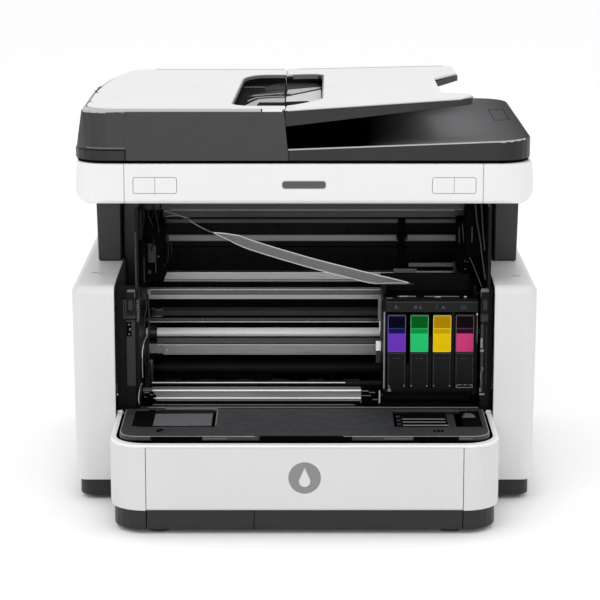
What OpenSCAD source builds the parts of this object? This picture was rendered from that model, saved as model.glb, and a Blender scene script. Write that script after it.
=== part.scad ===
// All-in-one inkjet printer: cassette nose, drop-down front door, cartridge bay,
// flatbed scanner on two side supports, and an automatic document feeder on top.
// Millimetres. The front faces -Y, +Z is up, and the origin is on the floor
// at the middle of the footprint.

/* [Body] */
// Width over the side covers
body_w = 448; // [444:1:460]
// Depth of the body behind the nose
body_d = 340; // [338:1:344]
// How far the cassette nose stands out in front of the body
nose_d = 112; // [110:1:114]
// Width of the cassette nose
nose_w = 364; // [362:1:365]
// Height of the side covers' top
cover_top = 213; // [211:1:215]
// Height of the nose walls, where the open door rests
nose_top = 83.7; // [83.2:0.1:84]

/* [Scanner and feeder] */
// Width of the scanner housing
scanner_w = 440; // [438:1:444]
// Underside of the scanner housing
scanner_bottom = 292.5; // [290:0.5:296]
// Height of the scanner housing
scanner_h = 38.5; // [37:0.5:40]
// Height of the document feeder over the scanner housing
feeder_h = 52.5; // [52:0.5:54]

/* [Ink] */
// Number of ink cartridges
cartridge_n = 4; // [4]
// Distance from one cartridge to the next
cartridge_pitch = 22.1; // [22:0.1:22.4]
// Width of a cartridge
cartridge_w = 18.4; // [17.5:0.1:18.6]

/* [Shell] */
// Thickness of the moulded covers
wall = 2.6; // [2.4:0.1:3]
// Gap between fixed parts that meet
gap = 0.3; // [0.2:0.1:0.4]

/* [Hidden] */
$fn = 48;

// Places along the depth
back = (body_d + nose_d) / 2;
nose_front = -back;
front = nose_front + nose_d;

// Heights
foot_h = 4;
floor_top = foot_h + 3;
plinth_top = 20.2;
nose_plinth_top = 23.1;
scanner_top = scanner_bottom + scanner_h;
lid_bottom = scanner_top + 2.5;
feeder_top = scanner_top + feeder_h;

// Side covers
cover_in = nose_w / 2 + 0.5;
cover_out = body_w / 2;
cover_draft = 2.5;
cover_corner = 14;
cover_crown = 8;

// Nose and door
nose_half = nose_w / 2;
nose_corner = 34;
seam_x = 147;
hinge_y = front + 8;
hinge_z = 84;
hinge_pin_r = 2;
door_bottom = hinge_z - 7.5;
rim_top = hinge_z + 2.2;
rim_side = 6;
rim_front = 3.5;
deck_top = hinge_z + 6.5;

// Engine frame
frame_left = -163;
frame_right = 177;
frame_t = 3;
frame_top = 286;
bulkhead_y = 150;
rod_y = 8;
rod_z = 140.5;
rod_r = 4.5;
running = 0.06;
belt_y = 25.5;
belt_z = 155;
pulley_r = 6;
pulley_left = -150;
pulley_right = 163;
gear_z = 95;
feed_y = 45;
gear_module = 1;
feed_teeth = 40;
transfer_teeth = 30;
gear_x = -158.5;
gear_w = 4;

// Carriage, parked at the right
carriage_left = 77;
carriage_right = 169;
carriage_bottom = 101;
carriage_top = 203;
slot_left = 80.6;

// Feeder
feeder_split = -20;
feeder_half = 216.5;
feeder_left = -219.5;
tray_end = 160;
tray_hinge_x = -13.5;
tray_hinge_z = feeder_top - 5.5;
hatch_hinge_x = -206.4;
hatch_hinge_z = feeder_top - 1.6;
hatch_pin_r = 0.8;
lid_hinge_y = back - 6;
lid_hinge_z = lid_bottom + 3.5;
throat_front = -90;
throat_back = 172;

// Colours
white = "whitesmoke";
dark = [0.24, 0.25, 0.26];
black = [0.07, 0.07, 0.08];
metal = "silver";

function arc(cx, cy, r, from, to, steps = 6) =
    r <= 0 ? [[cx, cy]] : [
        for (i = [0:steps]) let (a = from + (to - from) * i / steps)
            [cx + r * cos(a), cy + r * sin(a)]
    ];

// Quarter of an oval with half-widths rx and ry
function oval_arc(cx, cy, rx, ry, from, to, steps = 10) = [
    for (i = [0:steps]) let (a = from + (to - from) * i / steps)
        [cx + rx * cos(a), cy + ry * sin(a)]
];

// Outline of a box with rounded corners: radii for low-left, low-right, high-right, high-left
function rounded(x0, y0, x1, y1, r) = concat(
    arc(x0 + r[0], y0 + r[0], r[0], 180, 270),
    arc(x1 - r[1], y0 + r[1], r[1], 270, 360),
    arc(x1 - r[2], y1 - r[2], r[2], 0, 90),
    arc(x0 + r[3], y1 - r[3], r[3], 90, 180)
);

// Outline of a spur gear with straight flanks and a little backlash
function gear_outline(teeth, turn) = let (pitch = gear_module * teeth / 2) [
    for (i = [0:teeth - 1]) for (p = [
        [pitch - 1.15 * gear_module, -0.34], [pitch + 0.8 * gear_module, -0.13],
        [pitch + 0.8 * gear_module, 0.13], [pitch - 1.15 * gear_module, 0.34]
    ]) let (a = (i + p[1]) * 360 / teeth + turn) [p[0] * cos(a), p[0] * sin(a)]
];

module along_z(z0, z1) translate([0, 0, z0]) linear_extrude(z1 - z0) children();
module along_y(y0, y1) translate([0, y1, 0]) rotate([90, 0, 0]) linear_extrude(y1 - y0) children();
module along_x(x0, x1) translate([x0, 0, 0]) rotate([90, 0, 90]) linear_extrude(x1 - x0) children();
module block(lo, hi) translate(lo) cube(hi - lo);
module rod_along_x(x0, x1, y, z, r) translate([x0, y, z]) rotate([0, 90, 0]) cylinder(h = x1 - x0, r = r);
module rod_along_y(y0, y1, x, z, r) translate([x, y1, z]) rotate([90, 0, 0]) cylinder(h = y1 - y0, r = r);
module rod_along_z(z0, z1, x, y, r) translate([x, y, z0]) cylinder(h = z1 - z0, r = r);
module both_sides() {
    children();
    mirror([1, 0, 0]) children();
}

// ---------------------------------------------------------------- base and covers

// Outline of the dark base under the side covers
function base_outline(t) = rounded(-cover_out + 5 + t, front + 4 + t, cover_out - 5 - t, back - 4 - t,
    [for (i = [0:3]) cover_corner - t]);

// Outline of one dark nose corner, from the seam out to the side
function nose_plinth_outline(t) = rounded(seam_x + gap + t, nose_front + 3.5 + t, nose_half - 3.5 - t, front + 6,
    [0, nose_corner - 4 - t, 0, 0]);

module base_frame() color(dark) {
    difference() {
        union() {
            along_z(foot_h, floor_top) polygon(base_outline(0));
            difference() {
                along_z(foot_h, plinth_top) polygon(base_outline(0));
                along_z(floor_top, plinth_top + 1) polygon(base_outline(3));
            }
            block([-seam_x - 1, nose_front + 8, foot_h], [seam_x + 1, front + 5, floor_top]);
            both_sides() difference() {
                along_z(foot_h, nose_plinth_top) polygon(nose_plinth_outline(0));
                along_z(floor_top, nose_plinth_top + 1) polygon(rounded(seam_x + gap + 3, nose_front + 6.5, nose_half - 6.5,
                    front + 4, [0, nose_corner - 9.5, 0, 0]));
            }
            // Rails that carry the cassette
            both_sides() block([144.5, nose_front + 12, floor_top], [147, 100, 60]);
            // Posts that carry the front door's hinge pins
            both_sides() block([183, hinge_y - 4, floor_top], [187, hinge_y + 5, hinge_z + 5]);
        }
        // The cassette passes under the front edge of the body
        block([-144.5, front - 2, floor_top], [144.5, front + 12, nose_plinth_top + 1]);
        rod_along_x(-200, 200, hinge_y, hinge_z, hinge_pin_r + 0.02);
        // Vents through the floor
        for (i = [0:7]) block([-120 + 32 * i, 120, 0], [-104 + 32 * i, 124, floor_top + 1]);
    }
}

foot_x = 172;
foot_front = nose_front + 22;
foot_back = back - 30;

module rubber_feet() color(black) for (x = [-1, 1], y = [foot_front, foot_back])
    translate([x * (y < 0 ? 136 : foot_x), y, 0]) difference() {
        cylinder(h = foot_h, r = 11);
        translate([0, 0, -1]) cylinder(h = 2.2, r = 4);
    }

// One side cover with its walls moved in by t
module cover_form(t) intersection() {
    along_z(plinth_top + gap - (t > 0 ? 1 : 0), cover_top - t)
        polygon(rounded(cover_in - (t > 0 ? 1 : 0), front + t, cover_out - t, back - t,
            [0, cover_corner - t, cover_corner - t, 0]));
    along_y(front, back) polygon(concat(
        [[cover_in - 1, 0], [cover_out - cover_draft - t, 0], [cover_out - cover_draft - t, plinth_top]],
        arc(cover_out - cover_crown, cover_top - cover_crown, cover_crown - t, 0, 90),
        [[cover_in - 1, cover_top - t]]));
    along_x(cover_in - 1, cover_out) polygon(concat(
        [[front, 0], [back, 0]],
        arc(back - cover_crown, cover_top - cover_crown, cover_crown - t, 0, 90),
        arc(front + cover_crown, cover_top - cover_crown, cover_crown - t, 90, 180)));
}

module side_cover() {
    difference() {
        cover_form(0);
        cover_form(wall);
    }
    // Stiffening ribs inside the top
    for (y = [-60, 20, 100, 180]) block([cover_in + 6, y, cover_top - 12], [cover_out - 8, y + 2, cover_top - wall]);
}

module left_side_cover() color(white) mirror([1, 0, 0]) side_cover();
module right_side_cover() color(white) side_cover();

// One white corner of the nose, wrapping from the cassette seam to the body
module front_corner() difference() {
    intersection() {
        along_z(nose_plinth_top + gap, nose_top) polygon(rounded(seam_x + gap, nose_front, nose_half, front + 3,
            [0, nose_corner, 0, 0]));
        // The lower edge turns under
        along_y(nose_front, front + 3) polygon(concat(
            [[seam_x, nose_plinth_top], [nose_half - 4, nose_plinth_top]],
            arc(nose_half - 4, nose_plinth_top + 4, 4, -60, 0, 4),
            [[nose_half, nose_top], [seam_x, nose_top]]));
    }
    along_z(nose_plinth_top, nose_top + 1) polygon(rounded(seam_x - 1, nose_front + 3, nose_half - 3, front + 4,
        [0, nose_corner - 3, 0, 0]));
}

module left_front_corner() color(white) mirror([1, 0, 0]) front_corner();
module right_front_corner() color(white) front_corner();

module output_shelf() color(dark) {
    difference() {
        block([-nose_half + 3.5, nose_front + 8, 65], [nose_half - 3.5, front + 6, 68]);
        both_sides() along_z(60, 70) polygon([[nose_half - 36, nose_front + 7], [nose_half - 3, nose_front + 7],
            [nose_half - 3, nose_front + 40]]);
    }
    both_sides() block([144.5, nose_front + 12, 60], [147, front + 4, 65]);
    for (i = [-4:4]) block([i * 36 - 1, nose_front + 24, 68], [i * 36 + 1, front, 69.2]);
}

module side_frame_plate(lo, hi) difference() {
    block([lo, front + 21, floor_top], [hi, bulkhead_y, frame_top]);
    // Openings that lighten the plate
    for (y = [70, 110], z = [120, 180]) block([lo - 1, y, z], [hi + 1, y + 28, z + 40]);
    block([lo - 1, 60, 240], [hi + 1, 130, 270]);
    rod_along_x(lo - 1, hi + 1, feed_y, gear_z, 4 + running);
    rod_along_x(lo - 1, hi + 1, feed_y - 70, gear_z, 3 + running);
    // Room for the cassette rails' rear ends
    block([lo - 1, -70, floor_top - 1], [hi + 1, 60, 60]);
}

// Keeper post that the closed door's latch grips
module keeper_post(x) {
    block([x, front + 17, floor_top], [x + 8, front + 21.5, 182.5]);
    difference() {
        block([x, front + 15, 182], [x + 8, front + 21.5, 204]);
        block([x + 2, front + 14, 186], [x + 6, front + 18, 196]);
    }
}

module left_side_frame() color(black) {
    side_frame_plate(frame_left, frame_left + frame_t);
    keeper_post(-172);
    block([-182, front + 21, floor_top], [frame_left, front + 24, cover_top - 4]);
    rod_along_z(belt_z - 8, belt_z + 8, pulley_left, belt_y, 2);
    rod_along_x(frame_left + 1, gear_x + gear_w + 1, feed_y - 35, gear_z, 3);
    block([frame_left + frame_t, belt_y - 5, belt_z - 10], [pulley_left + 4, belt_y + 5, belt_z - 3]);
    for (y = [-82, -66, -50, -36, 30]) block([frame_left + frame_t, y, 214], [frame_left + frame_t + 3, y + 2, 280]);
}

module right_side_frame() color(black) {
    side_frame_plate(frame_right, frame_right + frame_t);
    keeper_post(170.5);
    block([frame_right + frame_t, front + 21, floor_top], [182, front + 24, cover_top - 4]);
    for (y = [22, 46, 72, 120]) block([frame_right - 3, y, 214], [frame_right, y + 2, 280]);
}

module rear_bulkhead() color(black) {
    x0 = frame_left;
    x1 = frame_right + frame_t;
    block([x0, bulkhead_y, 61], [x1, bulkhead_y + 3, frame_top]);
    for (i = [0:16]) block([x0 + 8 + i * 20, bulkhead_y - 5, 150], [x0 + 9.6 + i * 20, bulkhead_y, 196]);
    for (i = [0:5]) block([x0 + 8 + i * 62, bulkhead_y - 5, 100], [x0 + 9.6 + i * 62, bulkhead_y, 140]);
    for (i = [0:3]) block([x0 + 60 + i * 74, bulkhead_y - 5, 204], [x0 + 62 + i * 74, bulkhead_y, 240]);
    for (z = [146, 200, 244]) block([x0 + 4, bulkhead_y - 6, z], [x1 - 4, bulkhead_y, z + 2]);
}

rear_door_half = 130;
rear_door_low = 70;
rear_door_high = 186;

module rear_cover() color(dark) difference() {
    union() {
        block([-cover_in + gap, back - 3.5, plinth_top + gap], [cover_in - gap, back, scanner_bottom - 3]);
        both_sides() block([cover_in - 6, back - 12, plinth_top + gap], [cover_in - 3, back - 3.5, cover_top - 6]);
    }
    block([-rear_door_half, back - 5, rear_door_low], [rear_door_half, back + 1, rear_door_high]);
    // Opening for the mains inlet, and seats for the cover's screws
    block([120, back - 5, 34], [142, back + 1, 54]);
    for (x = [-174, 174], z = [60, 190]) rod_along_y(back - 1.7, back + 1, x, z, 3.4);
    for (i = [0:11]) block([-110 + 20 * i, back - 5, 236], [-96 + 20 * i, back + 1, 240]);
    // Clearance round the rear door's pins
    rod_along_x(-rear_door_half - 4, rear_door_half + 4, back - 2.1, rear_door_low + 4, 1 + running);
}

module rear_door() color(dark) {
    block([-rear_door_half + 0.6, back - 3.4, rear_door_low + 1.2], [rear_door_half - 0.6, back - 0.6, rear_door_high - 0.6]);
    rod_along_x(-rear_door_half - 3, rear_door_half + 3, back - 2.1, rear_door_low + 4, 1);
    for (i = [-3:3]) block([i * 34 - 1, back - 9, 80], [i * 34 + 1, back - 3.4, 176]);
}

module power_inlet() color(black) difference() {
    union() {
        block([120.3, back - 24, 34.3], [141.7, back - 0.4, 53.7]);
        block([116, back - 8, 30], [146, back - 3.8, 58]);
    }
    // Figure-of-eight socket
    both = [127, 135];
    along_y(back - 18, back + 1) {
        for (x = both) translate([x, 44]) circle(r = 5);
        translate([127, 39]) square([8, 10]);
    }
}

module crossmembers() color(dark) {
    // Sill behind the front door's hinge
    block([frame_left + frame_t, front + 16, 76], [170.2, front + 21, 89]);
    block([frame_left + frame_t, front + 20.5, 76], [170.2, front + 28, 86]);
    block([168, front + 22.5, 76], [frame_right, front + 28, 86]);
    // Beams under the scanner
    block([frame_left + frame_t, -28, 272.5], [frame_right, -16, 279]);
    block([frame_left + frame_t, -2, 260.5], [frame_right, 10, 267.5]);
    block([frame_left + frame_t, 12, 252], [frame_right, 15, 256]);
    block([frame_left + frame_t, 96, 217.5], [frame_right, 100, 225]);
    block([frame_left + frame_t, 99.5, 217.5], [frame_right, 108, 219]);
}

module carriage_rod() color(metal) rod_along_x(frame_left + frame_t, frame_right, rod_y, rod_z, rod_r);

// Folded-steel rails behind the carriage
module rear_rail() color(metal) {
    along_x(frame_left + frame_t, frame_right) polygon([[36, 168.5], [46, 168.5], [46, 170.5], [38, 170.5],
        [38, 177], [46, 177], [46, 179], [36, 179]]);
    along_x(frame_left + frame_t, frame_right) polygon([[60, 182], [62, 182], [62, 190], [70, 190], [70, 192], [60, 192]]);
    block([frame_left + frame_t, 22, 115], [frame_right, 34, 125]);
}

module print_platen() color(black) {
    block([-150, -12, 84], [74, 34, 91]);
    for (x = [-150, 64]) block([x, -8, 76], [x + 10, bulkhead_y, 84]);
    for (i = [0:17]) block([-146 + 12.4 * i, -10, 91], [-144.4 + 12.4 * i, 32, 94]);
}

module paper_guide_bar() color(metal) {
    difference() {
        block([-151, -62, 87], [56, -50, 98]);
        block([-152, -60.8, 86], [57, -51.2, 96.5]);
    }
    block([-160, -62, 84], [-150.5, -50, 97]);
    block([55.5, -62, 84], [76, -50, 97]);
}

module door_hinge_pins() color(metal) both_sides() rod_along_x(177, 187, hinge_y, hinge_z, hinge_pin_r);

// One hollow leg, from its inner edge outwards
module support_leg(inner, outer) difference() {
    along_y(12, 200) polygon([[inner, cover_top], [outer, cover_top], [outer + 1.8, scanner_bottom],
        [inner, scanner_bottom]]);
    along_y(14.6, 197.4) polygon([[inner + 2.6, cover_top + 3], [outer - 2.6, cover_top + 3],
        [outer - 1, scanner_bottom - 3], [inner + 2.6, scanner_bottom - 3]]);
}

// The right leg stands further out than the left one; a web closes each gap to the side frame
module scanner_supports() color(dark) {
    mirror([1, 0, 0]) support_leg(183.7, 207.6);
    support_leg(191, 214);
    block([-184, 30, cover_top], [frame_left, 34, scanner_bottom]);
    block([-181.7, 30, 150], [frame_left, 34, cover_top + 1]);
    block([frame_right + frame_t, 30, cover_top], [191.4, 34, scanner_bottom]);
    block([frame_right + frame_t, 30, 150], [181.7, 34, cover_top + 1]);
}

module service_station() color(dark) {
    block([75, -62, 70], [frame_right, -30, 84]);
    difference() {
        block([78, -46, 83], [166, -30, 92]);
        block([80, -44, 86], [164, -32, 93]);
    }
    for (i = [0:3]) block([slot_left + 3 + i * cartridge_pitch, -42, 84], [slot_left + 15 + i * cartridge_pitch, -34, 97]);
}

module carriage_motor() color([0.35, 0.35, 0.37]) difference() {
    union() {
        rod_along_z(181, 210, pulley_right, belt_y, 12);
        block([150, belt_y - 13, 179.2], [frame_right, belt_y + 13, 181]);
    }
    rod_along_z(178, 200, pulley_right, belt_y, 1.5 + running);
}

module frame_screws() color(metal) {
    for (x = [-195, 203], y = [24, 190]) translate([x, y, scanner_bottom - 3]) difference() {
        translate([0, 0, -2.4]) cylinder(h = 2.4, r = 3);
        translate([0, 0, -3]) cylinder(h = 1.8, r = 1.2, $fn = 6);
    }
    for (x = [-174, 174], z = [60, 190]) translate([x, back - 1.7, z]) rotate([-90, 0, 0]) difference() {
        cylinder(h = 1.6, r = 3.2);
        translate([0, 0, 0.6]) cylinder(h = 2, r = 1.3, $fn = 6);
    }
}

module belt_outline(r) {
    translate([pulley_left, belt_y]) circle(r = r);
    translate([pulley_right, belt_y]) circle(r = r);
    translate([pulley_left, belt_y - r]) square([pulley_right - pulley_left, 2 * r]);
}

module timing_belt() color(black) along_z(belt_z + 0.4, belt_z + 5.6) difference() {
    belt_outline(pulley_r + 1.5);
    belt_outline(pulley_r + 0.3);
}

module pulley(x) {
    rod_along_z(belt_z, belt_z + 6, x, belt_y, pulley_r);
    rod_along_z(belt_z - 1.2, belt_z, x, belt_y, pulley_r + 2);
}

module drive_pulley() color(metal) {
    pulley(pulley_right);
    rod_along_z(belt_z + 6, 199, pulley_right, belt_y, 1.5);
}

module idler_pulley() color(metal) difference() {
    pulley(pulley_left);
    rod_along_z(belt_z - 9, belt_z + 9, pulley_left, belt_y, 2 + running);
}

module encoder_strip() color([0.6, 0.62, 0.64]) {
    block([frame_left + frame_t, 10, 150.5], [frame_right, 10.5, 154.5]);
}

// Ribbon cable from the frame down to the carriage, standing on its edge
ribbon_h = 11;
ribbon_path = [[-112, 266], [-100, 259], [-86, 252.6], [-77, 248.4], [-55, 238], [0, 220.9], [40, 210.2], [66, 203.6], [84, 203.6],
    [104, 203.6]];

module flex_cable() color([0.55, 0.57, 0.6]) along_y(-56, -55.2) polygon(concat(
    [for (p = ribbon_path) p],
    [for (i = [len(ribbon_path) - 1:-1:0]) ribbon_path[i] + [0, i == 0 ? 3 : ribbon_h]]));

// ---------------------------------------------------------------- front door

function door_outline(side, front_in, corner) = rounded(-side, nose_front + front_in, side, hinge_y,
    [corner, corner, 0, 0]);

module door_outer_shell() color(white) difference() {
    union() {
        // Rim that rests on the nose walls
        along_z(hinge_z, rim_top) polygon(door_outline(nose_half - 0.4, 0, nose_corner));
        along_z(door_bottom, rim_top) polygon(door_outline(nose_half - 4.5, 4.3, nose_corner - 4.3));
        both_sides() rod_along_x(nose_half - 5.8, nose_half - 0.4, hinge_y, hinge_z, 4.6);
    }
    along_z(door_bottom + 2.5, rim_top + 1) polygon(rounded(-nose_half + rim_side + 0.4, nose_front + 8.5, nose_half - rim_side - 0.4,
        hinge_y + 1, [nose_corner - 6, nose_corner - 6, 0, 0]));
    rod_along_x(-200, 200, hinge_y, hinge_z, hinge_pin_r + running);
}

pocket_in = 85;
pocket_out = 158;

module door_liner() color(dark) {
    side = nose_half - rim_side - 0.7;
    difference() {
        union() {
            along_z(door_bottom + 2.8, door_bottom + 5) polygon(rounded(-side, nose_front + 8.8, side, hinge_y - 1,
                [nose_corner - 6.3, nose_corner - 6.3, 0, 0]));
            along_z(door_bottom + 5, deck_top) difference() {
                polygon(rounded(-168, nose_front + 19, 168, hinge_y - 2, [12, 12, 0, 0]));
                polygon(rounded(-165.5, nose_front + 21.5, 165.5, hinge_y - 4.5, [10, 10, 0, 0]));
            }
            along_z(deck_top - 2.4, deck_top) polygon(rounded(-166, nose_front + 21, 166, hinge_y - 4, [10, 10, 0, 0]));
        }
        // Latch pockets
        both_sides() block([pocket_in, nose_front + 51, deck_top - 3], [pocket_out, hinge_y - 8, deck_top + 1]);
        // Grip and vents in the front lip
        block([-41, nose_front + 18, door_bottom + 5.5], [42, nose_front + 23, deck_top - 0.8]);
        block([-142, nose_front + 18, door_bottom + 5.5], [-96, nose_front + 22, deck_top - 0.8]);
        block([97, nose_front + 18, door_bottom + 5.5], [137, nose_front + 22, deck_top - 0.8]);
    }
    // Ramp in the left pocket and louvres in the right one
    along_y(nose_front + 54, hinge_y - 9) polygon([[-140, door_bottom + 4], [-140, deck_top - 7], [-88, deck_top - 2], [-88, door_bottom + 4]]);
    for (i = [0:3]) block([88, nose_front + 56 + i * 14, door_bottom + 4], [128, nose_front + 60 + i * 14, deck_top - 2.5]);
    block([131, nose_front + 56, door_bottom + 4], [144, hinge_y - 12, deck_top - 3]);
}

// ---------------------------------------------------------------- cassette

cassette_back = 95;
lift_hinge_y = -150;
lift_hinge_z = 13.4;
lift_pin_r = 1.2;

module cassette_tray() color(dark) {
    difference() {
        block([-143, nose_front + 7, 8.5], [143, cassette_back, 62]);
        block([-140.5, nose_front + 9.5, 11.2], [140.5, cassette_back - 2.5, 63]);
        // Low wall at the back, where the sheets leave
        block([-120, cassette_back - 4, 44], [120, cassette_back + 1, 63]);
        rod_along_x(-150, 150, lift_hinge_y, lift_hinge_z, lift_pin_r + running);
    }
    // Dark kick strip under the white front, with its split
    difference() {
        block([-seam_x + 0.2, nose_front + 3.5, foot_h + 0.6], [seam_x - 0.2, nose_front + 7, nose_plinth_top]);
        block([-47.4, nose_front + 3, 0], [-46.6, nose_front + 4.2, 40]);
    }
    for (s = [-1, 1]) block([s * 60 - 4, nose_front + 9.5, 11.2], [s * 60 + 4, nose_front + 11.5, 50]);
}

emblem_z = 54.6;
emblem_r = 14.7;

// Outlines of the badge: a disc with a plain ink drop in it
function disc_outline(grow) = arc(0, emblem_z + 0.4, emblem_r + grow, 0, 354, 59);
function drop_outline(grow) = concat([[0, emblem_z + 11 + 2 * grow]], arc(0, emblem_z - 3, 5.6 + grow, 27, -207, 16));

module cassette_front() color(white) {
    difference() {
        along_x(-seam_x + 0.2, seam_x - 0.2) polygon(concat(
            [[nose_front + 4, nose_plinth_top + gap], [nose_front + 4, nose_top]],
            [[nose_front, nose_top]],
            arc(nose_front + 3, nose_plinth_top + 3 + gap, 3, 180, 250, 4)));
        difference() {
            along_y(nose_front - 1, nose_front + 0.8) polygon(disc_outline(0.15));
            along_y(nose_front - 2, nose_front + 2) polygon(drop_outline(-0.15));
        }
    }
    for (s = [-1, 0, 1]) block([s * 100 - 5, nose_front + 3.5, 30], [s * 100 + 5, nose_front + 7, 58]);
}

module front_emblem() color([0.55, 0.56, 0.57]) difference() {
    along_y(nose_front, nose_front + 0.8) polygon(disc_outline(0));
    along_y(nose_front - 1, nose_front + 1.8) polygon(drop_outline(0));
}

module paper_guide(s) {
    x = s * 109;
    block([min(x, x + s * 2.5), -90, 14.8], [max(x, x + s * 2.5), 60, 46]);
    block([min(x - s * 1, x + s * 8), -25, 11.8], [max(x - s * 1, x + s * 8), 5, 14.8]);
    block([min(x, x + s * 8), -12, 14.8], [max(x, x + s * 8), -8, 40]);
}

module left_paper_guide() color("dimgray") paper_guide(-1);
module right_paper_guide() color("dimgray") paper_guide(1);

module paper_length_stop() color("dimgray") {
    block([-22, nose_front + 14, 11.6], [22, nose_front + 16.5, 46]);
    block([-6, nose_front + 16, 11.6], [6, nose_front + 34, 14.4]);
}

module lift_plate() color(metal) difference() {
    union() {
        block([-106, lift_hinge_y, 12], [106, cassette_back - 5, 14]);
        rod_along_x(-142.4, 142.4, lift_hinge_y, lift_hinge_z, lift_pin_r);
    }
    // Slots that the guides' feet run in
    both_sides() block([48, -27, 11], [107, 7, 15]);
}

// ---------------------------------------------------------------- carriage and ink

module carriage_frame() color(black) {
    difference() {
        block([carriage_left, -82, carriage_bottom], [carriage_right, 2, carriage_top]);
        // One open-fronted bay for each cartridge
        for (i = [0:cartridge_n - 1]) block([slot_left + i * cartridge_pitch - 0.2, -83, carriage_bottom + 2.5],
            [slot_left + i * cartridge_pitch + cartridge_w + 0.5, -4, 181]);
        block([carriage_left + 3, -70, 186], [carriage_right - 3, -4, carriage_top + 1]);
        block([carriage_left - 1, -83, 194], [carriage_right + 1, -60, carriage_top + 1]);
    }
    // Bar over the cartridges
    block([carriage_left + 2, -87, 181.5], [carriage_right, -81.5, 192]);
    // Sleeve that runs on the rod
    difference() {
        block([86, 1.5, rod_z - 8], [160, rod_y + 8, rod_z + 7]);
        rod_along_x(85, 161, rod_y, rod_z, rod_r + running);
    }
    block([100, 1.5, 168.5], [146, 35, 174]);
    block([112, rod_y + 7, 141], [132, 17.6, 149]);
    block([112, rod_y + 7, 148], [132, 17.6, 162]);
    // Nozzle plate
    block([84, -70, 99.6], [162, -20, carriage_bottom + 0.5]);
}

module cartridge(i) {
    x = slot_left + i * cartridge_pitch + 0.15;
    difference() {
        block([x, -84, carriage_bottom + 3], [x + cartridge_w, -6, 179]);
        block([x + 1.5, -85, 142], [x + cartridge_w - 1.5, -83, 177.5]);
    }
    block([x + 2, -84, 142.6], [x + cartridge_w - 2, -83, 162]);
    block([x + 3, -86.5, 104.5], [x + cartridge_w - 3, -84, 108]);
}

module cartridge_violet() color([0.42, 0.2, 0.72]) cartridge(0);
module cartridge_green() color([0.1, 0.75, 0.4]) cartridge(1);
module cartridge_yellow() color([0.93, 0.75, 0.0]) cartridge(2);
module cartridge_magenta() color([0.85, 0.25, 0.52]) cartridge(3);

// ---------------------------------------------------------------- rollers and gears

module spur_gear(teeth, y, turn, bore) translate([gear_x, y, gear_z]) rotate([90, 0, 90]) linear_extrude(gear_w) difference() {
    polygon(gear_outline(teeth, turn));
    circle(r = bore);
}

module feed_roller() color([0.3, 0.31, 0.33]) {
    rod_along_x(frame_left - 2, frame_right + 5, feed_y, gear_z, 4);
    rod_along_x(-148, 165, feed_y, gear_z, 7);
    spur_gear(feed_teeth, feed_y, 0, 3.9);
}

module transfer_gear() color("ivory") {
    spur_gear(transfer_teeth, feed_y - 35, 180 / transfer_teeth, 3 + running);
}

module exit_roller() color([0.3, 0.31, 0.33]) {
    rod_along_x(frame_left - 2, frame_right + 5, feed_y - 70, gear_z, 3);
    for (i = [0:5]) rod_along_x(-140 + 36 * i, -124 + 36 * i, feed_y - 70, gear_z, 4.4);
    spur_gear(feed_teeth, feed_y - 70, 0, 2.9);
}

// ---------------------------------------------------------------- scanner

// Front outline of the housing: slightly wider at mid-height, turned under at the bottom
function housing_outline(t) = let (w = scanner_w / 2) concat(
    arc(-w + 14, scanner_bottom + 14, 14 - t, 180, 270),
    arc(w - 14, scanner_bottom + 14, 14 - t, 270, 360),
    [[w - 3 - t, scanner_top - t], [-w + 3 + t, scanner_top - t]]);

module housing_form(t) intersection() {
    along_z(scanner_bottom + t, scanner_top - t) polygon(rounded(-scanner_w / 2 + t, front + t, scanner_w / 2 - t, back - t,
        [for (r = [32, 32, 40, 40]) r - t]));
    along_y(front, back) polygon(housing_outline(t));
    along_x(-scanner_w / 2, scanner_w / 2) polygon(concat(
        arc(front + 5, scanner_bottom + 5, 5 - t, 180, 270),
        [[back - t, scanner_bottom + t], [back - t, scanner_top - t], [front + t, scanner_top - t]]));
}

panel_half = 171;
panel_right = 169.4;
glass_x0 = -150;
glass_x1 = 160;
glass_y0 = -62;
glass_y1 = 164;

module scanner_housing() color(white) {
    difference() {
        housing_form(0);
        housing_form(wall);
        block([glass_x0, glass_y0, scanner_top - 5], [glass_x1, glass_y1, scanner_top + 1]);
        block([-panel_half - gap, front - 1, scanner_bottom - 1], [panel_right + gap, front + 6 + gap, scanner_top + 1]);
    }
    // Ledge that carries the glass
    difference() {
        block([glass_x0 - 6, glass_y0 - 6, scanner_top - 5.4], [glass_x1 + 6, glass_y1 + 6, scanner_top - wall]);
        block([glass_x0 + 5, glass_y0 + 5, scanner_top - 6], [glass_x1 - 5, glass_y1 - 5, scanner_top]);
        block([glass_x0, glass_y0, scanner_top - 3.2], [glass_x1, glass_y1, scanner_top]);
    }
    // Inner front wall behind the panel
    block([-panel_half - 4, front + 6 + gap, scanner_bottom + wall], [panel_half + 4, front + 8.5, scanner_top - wall]);
    // Hinge ears for the lid
    for (x = [-160, 160]) difference() {
        union() {
            block([x - 9, lid_hinge_y - 4, scanner_top - 1], [x + 9, lid_hinge_y + 4, lid_hinge_z]);
            rod_along_x(x - 9, x + 9, lid_hinge_y, lid_hinge_z, 4);
        }
        rod_along_x(x - 10, x + 10, lid_hinge_y, lid_hinge_z, 2 + running);
    }
    // Rail that the scan bar rides on
    rod_along_x(-218, 218, 50, scanner_bottom + 10, 3);
}

button_x = 142;
button_w = 41;
button_low = scanner_bottom + 10.4;
button_h = 15;

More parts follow.
